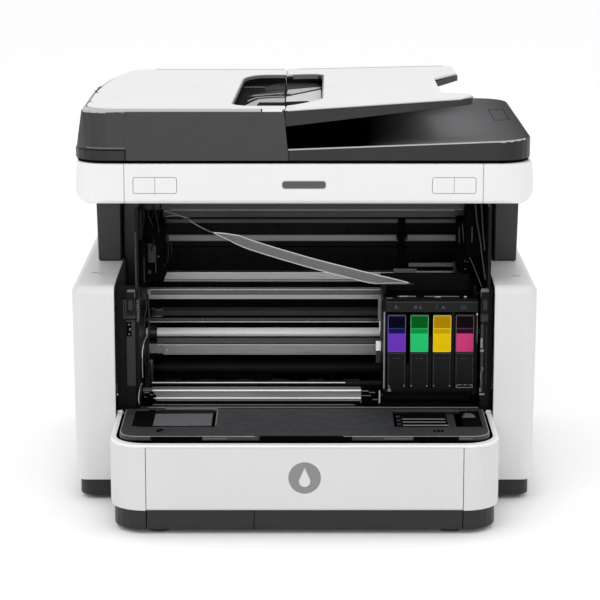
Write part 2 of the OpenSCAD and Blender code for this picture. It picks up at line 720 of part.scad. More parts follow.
module scanner_front_panel() color(white) difference() {
    along_x(-panel_half, panel_right) polygon(concat(
        arc(front + 5, scanner_bottom + 5, 5, 180, 270),
        [[front + 6, scanner_bottom], [front + 6, scanner_top], [front, scanner_top]]));
    // Openings for the two keys, with a stepped seat behind
    for (s = [-1, 1]) {
        along_y(front - 1, front + 3) polygon(rounded(s * button_x - button_w / 2 - 0.4, button_low - 0.4,
            s * button_x + button_w / 2 + 0.4, button_low + button_h + 0.4, [2.4, 2.4, 2.4, 2.4]));
        along_y(front + 2, front + 7) polygon(rounded(s * button_x - button_w / 2 + 4, button_low + 3,
            s * button_x + button_w / 2 - 4, button_low + button_h - 3, [1, 1, 1, 1]));
    }
    along_y(front - 1, front + 2.2) polygon(rounded(-21.5, scanner_bottom + 14.6, 20.5, scanner_bottom + 22.4, [3, 3, 3, 3]));
}

module status_window() color(black)
    along_y(front + 0.5, front + 2.2) polygon(rounded(-21.4, scanner_bottom + 14.7, 20.4, scanner_bottom + 22.3, [3, 3, 3, 3]));

module key(s) difference() {
    union() {
        along_y(front, front + 1.8) polygon(rounded(s * button_x - button_w / 2, button_low,
            s * button_x + button_w / 2, button_low + button_h, [2, 2, 2, 2]));
        block([s * button_x - 8, front + 1.8, button_low + 5], [s * button_x + 8, front + 5, button_low + 10]);
    }
    // Groove between the key's two halves
    block([s * button_x - 0.2, front - 1, button_low - 1], [s * button_x + 0.2, front + 0.3, button_low + button_h + 1]);
}

module button_left() color(white) key(-1);
module button_right() color(white) key(1);

module platen_glass() color([0.7, 0.85, 0.85, 0.4])
    block([glass_x0 + 0.3, glass_y0 + 0.3, scanner_top - 3.1], [glass_x1 - 0.3, glass_y1 - 0.3, scanner_top - 0.4]);

module scan_bar() color(black) difference() {
    union() {
        block([-148, -60, scanner_bottom + 16], [-126, 162, scanner_bottom + 32]);
        block([-146, 44, scanner_bottom + 5], [-128, 56, scanner_bottom + 16]);
    }
    rod_along_x(-160, -110, 50, scanner_bottom + 10, 3 + running);
}

// ---------------------------------------------------------------- document feeder

function lid_outline(t) = rounded(feeder_left + t, front + 3 + t, feeder_half - t, back - 3 - t,
    [32 - t, 32 - t, 44 - t, 52 - t]);
lid_step = lid_bottom + 10;

// Top of the output tray, rising to the right
function output_z(x) = lid_step + 0.6 + 9 * (x - feeder_split) / (feeder_half - feeder_split);

module lid_base() color(dark) {
    difference() {
        union() {
            along_z(lid_bottom, lid_step) polygon(lid_outline(0));
            intersection() {
                along_z(lid_step - 1, lid_step + 12) polygon(lid_outline(0));
                along_y(front, back) polygon([[feeder_split + gap, lid_step - 1], [feeder_half, lid_step - 1],
                    [feeder_half, output_z(feeder_half)], [feeder_split + gap, output_z(feeder_split)]]);
            }
        }
        // Hollow underside
        along_z(lid_bottom + 2.6, lid_step - 2.6) polygon(rounded(-206, front + 14, 206, lid_hinge_y - 12, [26, 26, 36, 40]));
        block([glass_x0 + 20, glass_y0 + 20, lid_bottom - 1], [glass_x1 - 20, glass_y1 - 20, lid_bottom + 3]);
        // The feeder's front wall hangs in front of the base here
        block([-170, front + 2, lid_bottom - 1], [feeder_split, front + 6.3, lid_step + 1]);
        // Room for the housing's hinge ears
        for (x = [-160, 160]) block([x - 9.4, lid_hinge_y - 5, lid_bottom - 1], [x + 9.4, back, lid_step + 2]);
    }
    for (x = [-160, 160]) rod_along_x(x - 12, x + 12, lid_hinge_y, lid_hinge_z, 2);
}

module lid_backing() color("white")
    block([glass_x0 + 2, glass_y0 + 2, scanner_top - 0.1], [glass_x1 - 2, glass_y1 - 2, lid_bottom]);

lug_y = [front + 7.2, back - 13.2];

// Plan of the feeder's rear left side: a tight corner, then a long shallow curve; t moves it inwards
function feeder_curve(t) = concat(
    [for (i = [0:8]) [-166 - (25.5 - t) * sin(i * 10), 197.5 + (25.5 - t) * cos(i * 10)]],
    [for (p = [[-201.3, 146], [-206.6, 94], [-212.4, 45], [-217, 0], [-219, -40]]) p + [t, 0]]);

// Plan of the feeder's left block; the walls lean in towards the top
module feeder_block(t) intersection() {
    along_z(lid_step + (t > 0 ? 2.4 : gap), feeder_top - 2.5 + (t > 0 ? 3 : 0)) polygon(concat(
        [[feeder_split - t, front + 3 + t]], [[feeder_split - t, back - 3 - t]],
        feeder_curve(t),
        arc(feeder_left + 32, front + 3 + 32, 32 - t, 180, 270)));
    along_y(front, back) polygon([[feeder_left + t, lid_bottom], [feeder_left + 8.8 + t, feeder_top + 4],
        [0, feeder_top + 4], [0, lid_bottom]]);
}

hatch_knuckles = [-62, 12];

module feeder_body() color(dark) {
    difference() {
        feeder_block(0);
        feeder_block(2.4);
        // Where sheets go in, and where they come out
        block([feeder_split - 4, -96, feeder_top - 18], [feeder_split + 1, 200, feeder_top]);
        block([feeder_split - 4, -96, lid_step + 3.4], [feeder_split + 1, 200, lid_step + 18]);
    }
    block([-170 + gap, front + 3, lid_bottom], [feeder_split, front + 5.4, lid_step + gap + 0.5]);
    // Lugs that carry the input tray's stub pins
    for (y = lug_y) difference() {
        union() {
            block([feeder_split - 2, y, tray_hinge_z - 2.8], [tray_hinge_x, y + 3, tray_hinge_z + 1.8]);
            rod_along_y(y, y + 3, tray_hinge_x, tray_hinge_z, 2.8);
        }
        rod_along_y(y - 1, y + 4, tray_hinge_x, tray_hinge_z, 1.5 + running);
    }
    // Bearings for the pick roller
    for (y = [-62, 122]) difference() {
        block([-64, y, lid_step + 2], [-40, y + 4, feeder_top - 7.5]);
        rod_along_y(y - 1, y + 5, -52, feeder_top - 19, 3 + running);
    }
    // Knuckles for the hatch's pins
    for (y = hatch_knuckles) difference() {
        union() {
            block([hatch_hinge_x - 4.6, y, feeder_top - 12], [hatch_hinge_x + 1.6, y + 4, hatch_hinge_z]);
            rod_along_y(y, y + 4, hatch_hinge_x, hatch_hinge_z, 1.6);
        }
        rod_along_y(y - 1, y + 5, hatch_hinge_x, hatch_hinge_z, hatch_pin_r + running);
        along_y(y - 1, y + 5) polygon([[hatch_hinge_x - 6, feeder_top - 2.5], [hatch_hinge_x - 1.8, feeder_top - 2.5],
            [hatch_hinge_x - 1.8, feeder_top + 1], [hatch_hinge_x - 6, feeder_top + 1]]);
    }
    // Sloping guide that sheets run down
    along_y(throat_front + 4, throat_back - 4) polygon([[-74, lid_step + 2], [-74, feeder_top - 34],
        [-28, feeder_top - 24], [-28, feeder_top - 26], [-70, feeder_top - 36], [-70, lid_step + 2]]);
}

module feeder_hatch() color(white) {
    difference() {
        along_z(feeder_top - 2.2, feeder_top) polygon(concat(
            [[feeder_split - gap, front + 5.5]], [[feeder_split - gap, back - 5.5]],
            [for (i = [0:8]) [-166 - 21 * sin(i * 10), 197.5 + 21 * cos(i * 10)]],
            [[-197.1, 146.5], [-202.4, 95], [-205.8, 50], [-207.6, 0]],
            arc(-207.8 + 27, front + 5.5 + 27, 27, 180, 270)));
        // Throat where the sheets go in
        along_z(feeder_top - 4, feeder_top + 1) polygon(concat(
            arc(-70 + 20, throat_front + 20, 20, 180, 270), [[0, throat_front], [0, throat_back]],
            oval_arc(-38, throat_back - 48, 26, 48, 90, 180)));
        for (y = hatch_knuckles) block([-210, y - 0.5, feeder_top - 4], [hatch_hinge_x + 2.2, y + 4.5, feeder_top + 1]);
    }
    for (y = hatch_knuckles) rod_along_y(y - 2, y + 6, hatch_hinge_x, hatch_hinge_z, hatch_pin_r);
}

tray_rise_front = 12;
tray_rise_back = 4;

// Input tray form: a wedge that rises to the right, a little more at the front
module tray_form(top, bottom_left, bottom_right) {
    x0 = feeder_split + 1.2;
    y0 = front + 3;
    y1 = back - 8;
    z = feeder_top;
    polyhedron(points = [
        [x0, y0, z - bottom_left], [tray_end, y0, z + tray_rise_front - bottom_right],
        [tray_end, y1, z + tray_rise_back - bottom_right], [x0, y1, z - bottom_left],
        [x0, y0, z - top], [tray_end, y0, z + tray_rise_front - top],
        [tray_end, y1, z + tray_rise_back - top], [x0, y1, z - top]
    ], faces = [[0, 1, 2], [0, 2, 3], [6, 5, 4], [7, 6, 4], [0, 4, 5], [0, 5, 1], [1, 5, 6], [1, 6, 2],
        [2, 6, 7], [2, 7, 3], [3, 7, 4], [3, 4, 0]]);
}

// Notch in the tray's right end, and the throat at its left
module tray_cutouts() {
    along_z(300, 420) polygon([[132, -62], [tray_end + 1, -86], [tray_end + 1, 132], [133, 84]]);
    along_z(feeder_top - 8, 420) polygon(concat([[feeder_split, throat_front], [-10, throat_front + 3],
        [7, throat_front + 17], [15, throat_front + 27], [18, throat_front + 40]],
        oval_arc(21 - 14, throat_back - 18, 14, 18, 0, 90), [[feeder_split, throat_back]]));
    // Clearance for the feeder's lugs
    for (y = lug_y) block([feeder_split - 1, y - 0.8, feeder_top - 14], [-9, y + 3.8, feeder_top + 1]);
}

module feeder_tray_top() color(white) difference() {
    tray_form(0, 2.4, 2.4);
    tray_cutouts();
    // Rounded outer ends of the tray's two arms
    along_z(300, 420) difference() {
        translate([tray_end - 8, front + 2]) square([12, 9]);
        translate([tray_end - 8, front + 11]) circle(r = 8);
    }
    // The left edge is eased so that it turns clear of the feeder
    along_y(front, back) polygon([[feeder_split - 1, feeder_top + 1], [feeder_split + 4.9, feeder_top + 1],
        [feeder_split + 1.2, feeder_top - 2.4], [feeder_split - 1, feeder_top - 2.4]]);
}

module feeder_tray_frame() color(dark) {
    difference() {
        tray_form(2.5, 17.5, 8);
        // Hollow between the skins, open to the left
        translate([-1, 0, 0]) intersection() {
            tray_form(5, 15, 8.01);
            block([feeder_split - 1, front + 6, 300], [120, back - 9.5, 420]);
        }
        tray_cutouts();
        along_z(300, 420) difference() {
            translate([tray_end - 8, front + 2]) square([12, 9]);
            translate([tray_end - 8, front + 11]) circle(r = 8);
        }
    }
    rod_along_y(front + 4, front + 11, tray_hinge_x, tray_hinge_z, 1.5);
    rod_along_y(back - 14, back - 9, tray_hinge_x, tray_hinge_z, 1.5);
}

module feeder_pick_roller() color(black) {
    rod_along_y(-66, 130, -52, feeder_top - 19, 3);
    rod_along_y(6, 46, -52, feeder_top - 19, 9);
    for (y = [-40, 84]) rod_along_y(y, y + 14, -52, feeder_top - 19, 7);
}

base_frame();
rubber_feet();
left_side_cover();
right_side_cover();
left_front_corner();
right_front_corner();
output_shelf();
left_side_frame();
right_side_frame();
rear_bulkhead();
rear_cover();
crossmembers();
carriage_rod();
rear_rail();
print_platen();
paper_guide_bar();
door_hinge_pins();
scanner_supports();
service_station();
carriage_motor();
power_inlet();
frame_screws();
timing_belt();
encoder_strip();
flex_cable();
scanner_housing();
scanner_front_panel();
platen_glass();
status_window();
door_outer_shell();
door_liner();
cassette_tray();
cassette_front();
front_emblem();
left_paper_guide();
right_paper_guide();
paper_length_stop();
lift_plate();
carriage_frame();
cartridge_violet();
cartridge_green();
cartridge_yellow();
cartridge_magenta();
feed_roller();
transfer_gear();
exit_roller();
drive_pulley();
idler_pulley();
scan_bar();
lid_base();
lid_backing();
feeder_body();
feeder_hatch();
feeder_tray_top();
feeder_tray_frame();
feeder_pick_roller();
button_left();
button_right();
rear_door();
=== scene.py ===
"""Looks of the all-in-one inkjet printer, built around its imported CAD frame. Metres, front towards -Y."""

import math

import bmesh
import bpy
from mathutils import Matrix, Vector


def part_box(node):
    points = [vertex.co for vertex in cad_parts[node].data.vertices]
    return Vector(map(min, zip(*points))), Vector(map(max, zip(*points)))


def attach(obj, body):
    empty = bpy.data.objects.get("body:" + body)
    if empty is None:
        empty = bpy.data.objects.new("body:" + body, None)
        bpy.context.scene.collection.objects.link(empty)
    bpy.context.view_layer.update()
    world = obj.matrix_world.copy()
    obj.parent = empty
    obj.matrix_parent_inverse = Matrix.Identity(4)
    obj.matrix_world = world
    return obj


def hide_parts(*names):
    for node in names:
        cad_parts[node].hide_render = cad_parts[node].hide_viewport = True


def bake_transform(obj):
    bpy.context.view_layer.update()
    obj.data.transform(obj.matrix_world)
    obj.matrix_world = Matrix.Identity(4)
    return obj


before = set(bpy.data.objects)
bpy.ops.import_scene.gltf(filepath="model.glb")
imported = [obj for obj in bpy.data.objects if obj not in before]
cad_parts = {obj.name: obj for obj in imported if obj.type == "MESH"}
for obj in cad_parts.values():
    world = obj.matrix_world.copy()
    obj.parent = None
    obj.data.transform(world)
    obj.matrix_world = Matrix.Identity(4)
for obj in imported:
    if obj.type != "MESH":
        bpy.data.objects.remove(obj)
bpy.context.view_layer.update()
MM = 0.001
SHARP_ANGLE = math.radians(35)
bpy.context.scene.view_settings.view_transform = "Standard"


# ---------------------------------------------------------------- places, from the frame

def low(node):
    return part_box(node)[0]


def high(node):
    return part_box(node)[1]


COVER_TOP = high("left_side_cover")[2]
FEEDER_TOP = high("feeder_hatch")[2]
DECK_TOP = high("door_liner")[2]
HINGE_Y = (low("door_hinge_pins")[1] + high("door_hinge_pins")[1]) / 2
FRAME_LEFT = low("carriage_rod")[0]
FRAME_RIGHT = high("carriage_rod")[0]
ROD_Y = (low("carriage_rod")[1] + high("carriage_rod")[1]) / 2 / MM
ROD_Z = (low("carriage_rod")[2] + high("carriage_rod")[2]) / 2 / MM


# ---------------------------------------------------------------- mesh helpers

def finish_mesh(name, bm, material, body, bevel=0.0):
    """Turns a bmesh into a piece that rides on a body, with edges softened by bevel millimetres."""
    bmesh.ops.remove_doubles(bm, verts=bm.verts, dist=1e-7)
    bmesh.ops.recalc_face_normals(bm, faces=bm.faces)
    mesh = bpy.data.meshes.new(name)
    bm.to_mesh(mesh)
    bm.free()
    obj = bpy.data.objects.new(name, mesh)
    bpy.context.scene.collection.objects.link(obj)
    mesh.materials.append(material)
    for p in mesh.polygons:
        p.use_smooth = True
    if bevel:
        add_bevel(obj, bevel)
    else:
        mesh.set_sharp_from_angle(angle=SHARP_ANGLE)
    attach(obj, body)
    return obj


def add_bevel(obj, width):
    edge = obj.modifiers.new("soft edge", "BEVEL")
    edge.limit_method = "ANGLE"
    edge.angle_limit = SHARP_ANGLE
    edge.width = width * MM
    edge.segments = 2
    edge.use_clamp_overlap = False
    edge.harden_normals = True
    edge.miter_outer = "MITER_ARC"


def add_box(bm, lo, hi):
    """A box between two corners, in millimetres."""
    lo, hi = Vector(lo) * MM, Vector(hi) * MM
    made = bmesh.ops.create_cube(bm, size=1)["verts"]
    bmesh.ops.scale(bm, vec=hi - lo, verts=made)
    bmesh.ops.translate(bm, vec=(lo + hi) / 2, verts=made)
    return made


DRAWN_ALONG = {
    "x": lambda u, v, w: (w, u, v),
    "y": lambda u, v, w: (u, w, v),
    "z": lambda u, v, w: (u, v, w),
}


def add_prism(bm, outline, axis, lo, hi):
    """A prism: outline is a list of 2D points in millimetres, axis the direction it is drawn along."""
    place = DRAWN_ALONG[axis]
    rings = [
        [bm.verts.new(Vector(place(u, v, w)) * MM) for u, v in outline]
        for w in (lo, hi)
    ]
    count = len(outline)
    for i in range(count):
        j = (i + 1) % count
        bm.faces.new((rings[0][i], rings[0][j], rings[1][j], rings[1][i]))
    bm.faces.new(rings[0][::-1])
    bm.faces.new(rings[1])
    return rings[0] + rings[1]


def add_rod(bm, start, end, radius, sides=24, end_radius=None):
    """A round rod from start to end, in millimetres."""
    start, end = Vector(start) * MM, Vector(end) * MM
    along = end - start
    turn = along.to_track_quat("Z", "Y").to_matrix().to_4x4()
    made = bmesh.ops.create_cone(
        bm, cap_ends=True, segments=sides, radius1=radius * MM,
        radius2=(radius if end_radius is None else end_radius) * MM, depth=along.length,
        matrix=Matrix.Translation((start + end) / 2) @ turn,
    )
    return made["verts"]


def add_tube(bm, path, radius, sides=10):
    """A round tube through points in millimetres, smoothed into a curve."""
    points = smooth_path([Vector(p) * MM for p in path], 6)
    rings = []
    for i, p in enumerate(points):
        tangent = (points[min(i + 1, len(points) - 1)] - points[max(i - 1, 0)]).normalized()
        side = tangent.cross(Vector((0, 0, 1)) if abs(tangent.z) < 0.9 else Vector((1, 0, 0))).normalized()
        up = side.cross(tangent)
        rings.append([
            bm.verts.new(p + (side * math.cos(a) + up * math.sin(a)) * radius * MM)
            for a in (2 * math.pi * k / sides for k in range(sides))
        ])
    for a, b in zip(rings, rings[1:]):
        for k in range(sides):
            m = (k + 1) % sides
            bm.faces.new((a[k], a[m], b[m], b[k]))
    bm.faces.new(rings[0][::-1])
    bm.faces.new(rings[-1])


def smooth_path(points, steps):
    """Catmull-Rom curve through the points."""
    out = []
    padded = [points[0]] + list(points) + [points[-1]]
    for p0, p1, p2, p3 in zip(padded, padded[1:], padded[2:], padded[3:]):
        for s in range(steps):
            t = s / steps
            out.append(0.5 * (
                2 * p1 + (p2 - p0) * t + (2 * p0 - 5 * p1 + 4 * p2 - p3) * t * t
                + (3 * p1 - p0 - 3 * p2 + p3) * t ** 3
            ))
    out.append(points[-1])
    return out


def oval(cx, cy, rx, ry, start, end, steps=18):
    turns = [math.radians(start + (end - start) * i / steps) for i in range(steps + 1)]
    return [(cx + rx * math.cos(a), cy + ry * math.sin(a)) for a in turns]


def arc(cx, cy, r, start, end, steps=8):
    return oval(cx, cy, r, r, start, end, steps)


def smooth_corner(a, b, c, steps):
    """Points of a quadratic curve from a to c, pulled towards b."""
    return [
        tuple((1 - t) ** 2 * p + 2 * t * (1 - t) * q + t * t * r for p, q, r in zip(a, b, c))
        for t in (k / steps for k in range(1, steps + 1))
    ]


def rounded(x0, y0, x1, y1, r, steps=6):
    """Outline of a rounded rectangle; r is one radius or four, from the low-left corner round."""
    r = [r] * 4 if isinstance(r, (int, float)) else r
    corners = [
        (x0 + r[0], y0 + r[0], 180), (x1 - r[1], y0 + r[1], 270),
        (x1 - r[2], y1 - r[2], 0), (x0 + r[3], y1 - r[3], 90),
    ]
    out = []
    for (cx, cy, a), radius in zip(corners, r):
        out += arc(cx, cy, radius, a, a + 90, steps) if radius else [(cx, cy)]
    return out


def ring_piece(name, outer, inner, axis, lo, hi, material, body, bevel=0.0):
    """A flat ring between two outlines with the same number of points."""
    bm = bmesh.new()
    place = DRAWN_ALONG[axis]
    loops = [
        [bm.verts.new(Vector(place(u, v, w)) * MM) for u, v in outline]
        for outline, w in ((outer, lo), (outer, hi), (inner, hi), (inner, lo))
    ]
    for a, b in zip(loops, loops[1:] + loops[:1]):
        for i in range(len(a)):
            j = (i + 1) % len(a)
            bm.faces.new((a[i], a[j], b[j], b[i]))
    return finish_mesh(name, bm, material, body, bevel)


def piece(name, material, body, build, bevel=0.0):
    """Runs build(bm) and makes one piece of what it adds."""
    bm = bmesh.new()
    build(bm)
    return finish_mesh(name, bm, material, body, bevel)


def plate(name, material, body, outline, axis, lo, hi, bevel=0.0):
    """One piece: a flat outline in millimetres, drawn along an axis from lo to hi."""
    return piece(name, material, body, lambda bm: add_prism(bm, outline, axis, lo, hi), bevel)


# ---------------------------------------------------------------- materials

def start_material(name, roughness, metallic=0.0):
    mat = bpy.data.materials.new(name)
    mat.use_nodes = True
    tree = mat.node_tree
    shader = tree.nodes["Principled BSDF"]
    shader.inputs["Roughness"].default_value = roughness
    shader.inputs["Metallic"].default_value = metallic
    where = tree.nodes.new("ShaderNodeTexCoord").outputs["Object"]
    return mat, tree, shader, where


def noise(tree, where, scale, detail=2.0, stretch=None):
    if stretch:
        mapping = tree.nodes.new("ShaderNodeMapping")
        mapping.inputs["Scale"].default_value = stretch
        tree.links.new(where, mapping.inputs["Vector"])
        where = mapping.outputs["Vector"]
    node = tree.nodes.new("ShaderNodeTexNoise")
    node.inputs["Scale"].default_value = scale
    node.inputs["Detail"].default_value = detail
    tree.links.new(where, node.inputs["Vector"])
    return node.outputs["Fac"]


def stepped_ramp(tree, fac, stops, interpolation="LINEAR"):
    """Colour ramp through stops of (place, colour)."""
    node = tree.nodes.new("ShaderNodeValToRGB")
    node.color_ramp.interpolation = interpolation
    elements = node.color_ramp.elements
    while len(elements) < len(stops):
        elements.new(0.5)
    for element, (place, color) in zip(elements, stops):
        element.position = place
        element.color = (*color, 1)
    tree.links.new(fac, node.inputs["Fac"])
    return node.outputs["Color"]


def ramp(tree, fac, low_color, high_color, start=0.3, end=0.7):
    return stepped_ramp(tree, fac, ((start, low_color), (end, high_color)))


def map_range(tree, value, start, end, to_start=0.0, to_end=1.0):
    node = tree.nodes.new("ShaderNodeMapRange")
    for name, number in (("From Min", start), ("From Max", end), ("To Min", to_start), ("To Max", to_end)):
        node.inputs[name].default_value = number
    tree.links.new(value, node.inputs["Value"])
    return node.outputs["Result"]


def share_along(tree, where, axis, start, end):
    """0 to 1 between two places on an axis, in millimetres."""
    parts = tree.nodes.new("ShaderNodeSeparateXYZ")
    tree.links.new(where, parts.inputs["Vector"])
    return map_range(tree, parts.outputs[axis], start * MM, end * MM)


def vary_roughness(tree, shader, fac, center, spread):
    tree.links.new(map_range(tree, fac, 0.3, 0.7, center - spread, center + spread), shader.inputs["Roughness"])


def add_bump(tree, shader, height, strength, distance):
    node = tree.nodes.new("ShaderNodeBump")
    node.inputs["Strength"].default_value = strength
    node.inputs["Distance"].default_value = distance
    tree.links.new(height, node.inputs["Height"])
    tree.links.new(node.outputs["Normal"], shader.inputs["Normal"])


def shade(color, factor):
    return tuple(min(1.0, c * factor) for c in color)


def moulded(name, color, roughness, grain_mm=0.5, depth=0.1, tone=0.05, coat=0.0, gloss=0.5):
    """Moulded plastic: spark-eroded grain, slight cloudiness, uneven gloss."""
    mat, tree, shader, where = start_material(name, roughness)
    cloud = noise(tree, where, 14, 3)
    tree.links.new(ramp(tree, cloud, shade(color, 1 - tone), shade(color, 1 + tone)),
                   shader.inputs["Base Color"])
    vary_roughness(tree, shader, noise(tree, where, 90, 2), roughness, 0.05)
    add_bump(tree, shader, noise(tree, where, 1 / (grain_mm * MM), 2), depth, 0.0001)
    shader.inputs["Specular IOR Level"].default_value = gloss
    if coat:
        shader.inputs["Coat Weight"].default_value = coat
        shader.inputs["Coat Roughness"].default_value = 0.15
    return mat


def metal(name, color, roughness, stretch=(0.3, 12, 12), depth=0.05, metallic=0.6):
    """Drawn or rolled steel with fine lines along one direction."""
    mat, tree, shader, where = start_material(name, roughness, metallic)
    lines = noise(tree, where, 60, 3, stretch)
    tree.links.new(ramp(tree, lines, shade(color, 0.9), shade(color, 1.05)), shader.inputs["Base Color"])
    vary_roughness(tree, shader, lines, roughness, roughness * 0.2)
    add_bump(tree, shader, lines, depth, 0.00003)
    return mat


def printed_label(name, bands, low_z, high_z):
    """Glossy cartridge label: printed bands, from the bottom up as (share of the height, colour)."""
    mat, tree, shader, where = start_material(name, 0.3)
    shader.inputs["Specular IOR Level"].default_value = 0.02
    stripes = stepped_ramp(tree, share_along(tree, where, "Z", low_z, high_z), bands, "CONSTANT")
    grain = tree.nodes.new("ShaderNodeMix")
    grain.data_type = "RGBA"
    grain.blend_type = "MULTIPLY"
    grain.inputs["Factor"].default_value = 1.0
    tree.links.new(stripes, grain.inputs["A"])
    tree.links.new(ramp(tree, noise(tree, where, 700, 2), (0.9, 0.9, 0.9), (1, 1, 1)), grain.inputs["B"])
    tree.links.new(grain.outputs["Result"], shader.inputs["Base Color"])
    vary_roughness(tree, shader, noise(tree, where, 120, 2), 0.3, 0.06)
    return mat


def shelf_shade_and_sheen(name, start, end):
    """Dark moulded plastic with painted shade: near black towards the feeder, as the shadow under the input
    tray, then a lighter band of painted sheen, darker again at the far end; its own specular is off.
    """
    mat, tree, shader, where = start_material(name, 0.42)
    tint = stepped_ramp(tree, share_along(tree, where, "X", start, end), (
        (0.34, (0.0008, 0.0008, 0.0009)), (0.64, (0.22, 0.223, 0.228)), (1.0, (0.06, 0.061, 0.063))))
    tree.links.new(tint, shader.inputs["Base Color"])
    vary_roughness(tree, shader, noise(tree, where, 90, 2), 0.42, 0.05)
    add_bump(tree, shader, noise(tree, where, 1400, 2), 0.03, 0.0001)
    shader.inputs["Specular IOR Level"].default_value = 0.0
    return mat


def clear_glass(name):
    mat, tree, shader, where = start_material(name, 0.04)
    shader.inputs["Transmission Weight"].default_value = 1.0
    shader.inputs["IOR"].default_value = 1.5
    tint = noise(tree, where, 6, 1)
    tree.links.new(ramp(tree, tint, (0.86, 0.93, 0.9), (0.9, 0.95, 0.93)), shader.inputs["Base Color"])
    return mat


# One white plastic in several copies, each lighter or darker for how its part is lit: nose, side covers and
# feeder tops darker as painted shade, the door rim brighter as a painted highlight.
WHITE = moulded("white_case", (0.74, 0.74, 0.738), 0.42, 0.6, 0.10, 0.012)
WHITE_TOP = moulded("white_top", (0.70, 0.70, 0.698), 0.4, 0.6, 0.08, 0.012, gloss=0.4)
WHITE_SIDE = moulded("white_side", (0.66, 0.66, 0.66), 0.42, 0.6, 0.10, 0.012)
RIM_WHITE = moulded("rim_white", (0.84, 0.84, 0.838), 0.36, 0.6, 0.06, 0.01)
# Near-white metal: thin rods and strips along edges as painted highlights, and small bright metal parts.
EDGE_BRIGHT = metal("glint_and_bright_metal", (0.97, 0.97, 0.975), 0.34, stretch=(0.2, 2, 2), depth=0.01, metallic=0.6)
WHITE_NOSE = moulded("white_nose", (0.61, 0.61, 0.61), 0.42, 0.6, 0.10, 0.012)
LID_DARK = moulded("lid_dark", (0.0105, 0.011, 0.012), 0.42, 0.7, 0.22, 0.06, gloss=0.35)
FEEDER_DARK = moulded("feeder_dark", (0.0163, 0.017, 0.0183), 0.42, 0.7, 0.25, 0.06)
BASE_DARK = moulded("base_dark", (0.013, 0.0135, 0.0145), 0.45, 0.7, 0.22, 0.06, gloss=0.35)
LEG_DARK = moulded("leg_dark", (0.018, 0.019, 0.0203), 0.38, 0.8, 0.15, 0.08, gloss=0.4)
FRAME_BLACK = moulded("frame_black", (0.003, 0.003, 0.0034), 0.42, 0.8, 0.2, 0.15, gloss=0.12)
BEAM_GREY = moulded("beam_grey", (0.026, 0.027, 0.029), 0.35, 0.8, 0.15, 0.1, gloss=0.25)
DETAIL_GREY = moulded("detail_grey", (0.023, 0.024, 0.0255), 0.35, 0.5, 0.15, 0.1, gloss=0.35)
EDGE_MID = moulded("lit_edge", (0.24, 0.245, 0.25), 0.3, 0.4, 0.1, 0.05)
# Near-black and matt: real black parts, seams and marks, and painted shade in recesses, pockets, notches, the
# throat, a crease and the gap under the lid.
BLACK_PARTS_AND_SHADE = moulded("black_parts_and_shade", (0.0015, 0.0015, 0.0016), 0.8, 0.3, 0.4, 0.2, gloss=0.03)
INK_BODY = moulded("cartridge_black", (0.006, 0.006, 0.0065), 0.34, 0.6, 0.12, 0.12, gloss=0.12)
WORKS_GREY = moulded("works_grey", (0.016, 0.0165, 0.0175), 0.4, 0.5, 0.15, 0.1, gloss=0.3)
RAMP_LIGHT = moulded("ramp_light", (0.5, 0.505, 0.51), 0.42)
RAMP_DARK = moulded("ramp_dark", (0.12, 0.122, 0.127), 0.42, gloss=0.3)
SLAT_GREY = moulded("slat_grey", (0.22, 0.225, 0.23), 0.4, gloss=0.3)
# Near-black grey for painted shade deep in the throat and in the door's pockets.
PAINTED_SHADE_GREY = moulded("painted_shade_grey", (0.008, 0.0083, 0.009), 0.5, 0.5, 0.1, 0.1, gloss=0.03)
THROAT_GREY = moulded("throat_grey", (0.16, 0.163, 0.167), 0.45, gloss=0.3)
RIM_LIGHT = moulded("rim_light", (0.4, 0.405, 0.41), 0.4, 0.6, 0.1, 0.04)
BAR_GREY = moulded("bar_grey", (0.28, 0.285, 0.29), 0.35)
RAMP_GREY = moulded("ramp_grey", (0.3, 0.305, 0.31), 0.42, gloss=0.15)
LINER_DARK = moulded("liner_dark", (0.034, 0.0355, 0.038), 0.42, 0.6, 0.2, 0.06, gloss=0.4)
PANEL_GREY = moulded("panel_grey", (0.009, 0.0095, 0.0102), 0.4, 0.6, 0.15, 0.06, gloss=0.12)
RIM_GREY = moulded("rim_grey", (0.24, 0.245, 0.25), 0.4, 0.6, 0.1, 0.05)
MARK_GREY = moulded("mark_grey", (0.16, 0.165, 0.17), 0.5, 0.4, 0.1, 0.05)
EMBLEM_GREY = moulded("emblem_grey", (0.2, 0.205, 0.21), 0.3, 0.4, 0.08, 0.04)
GUIDE_GREY = moulded("guide_grey", (0.10, 0.10, 0.105), 0.45, 0.6, 0.2, 0.05)
NYLON = moulded("gear_nylon", (0.16, 0.16, 0.155), 0.4, 0.5, 0.08, 0.04)
GEAR_BLACK = moulded("gear_black", (0.02, 0.02, 0.022), 0.3, 0.5, 0.1, 0.1)
FOAM_WHITE = moulded("backing_foam", (0.8, 0.8, 0.78), 0.8, 0.4, 0.5, 0.03)
RUBBER = moulded("rubber", (0.02, 0.02, 0.021), 0.7, 0.3, 0.5, 0.15)
ROLLER = moulded("roller_rubber", (0.008, 0.008, 0.009), 0.6, 0.25, 0.4, 0.1, gloss=0.2)
WINDOW = moulded("smoked_window", (0.045, 0.047, 0.05), 0.22, 0.8, 0.03, 0.05, coat=0.3)
INLET = moulded("inlet_black", (0.014, 0.014, 0.015), 0.3, 0.6, 0.1, 0.1)
STEEL = metal("plated_steel", (0.36, 0.365, 0.375), 0.32)
STEEL_DARK = metal("dark_steel", (0.11, 0.11, 0.115), 0.35)
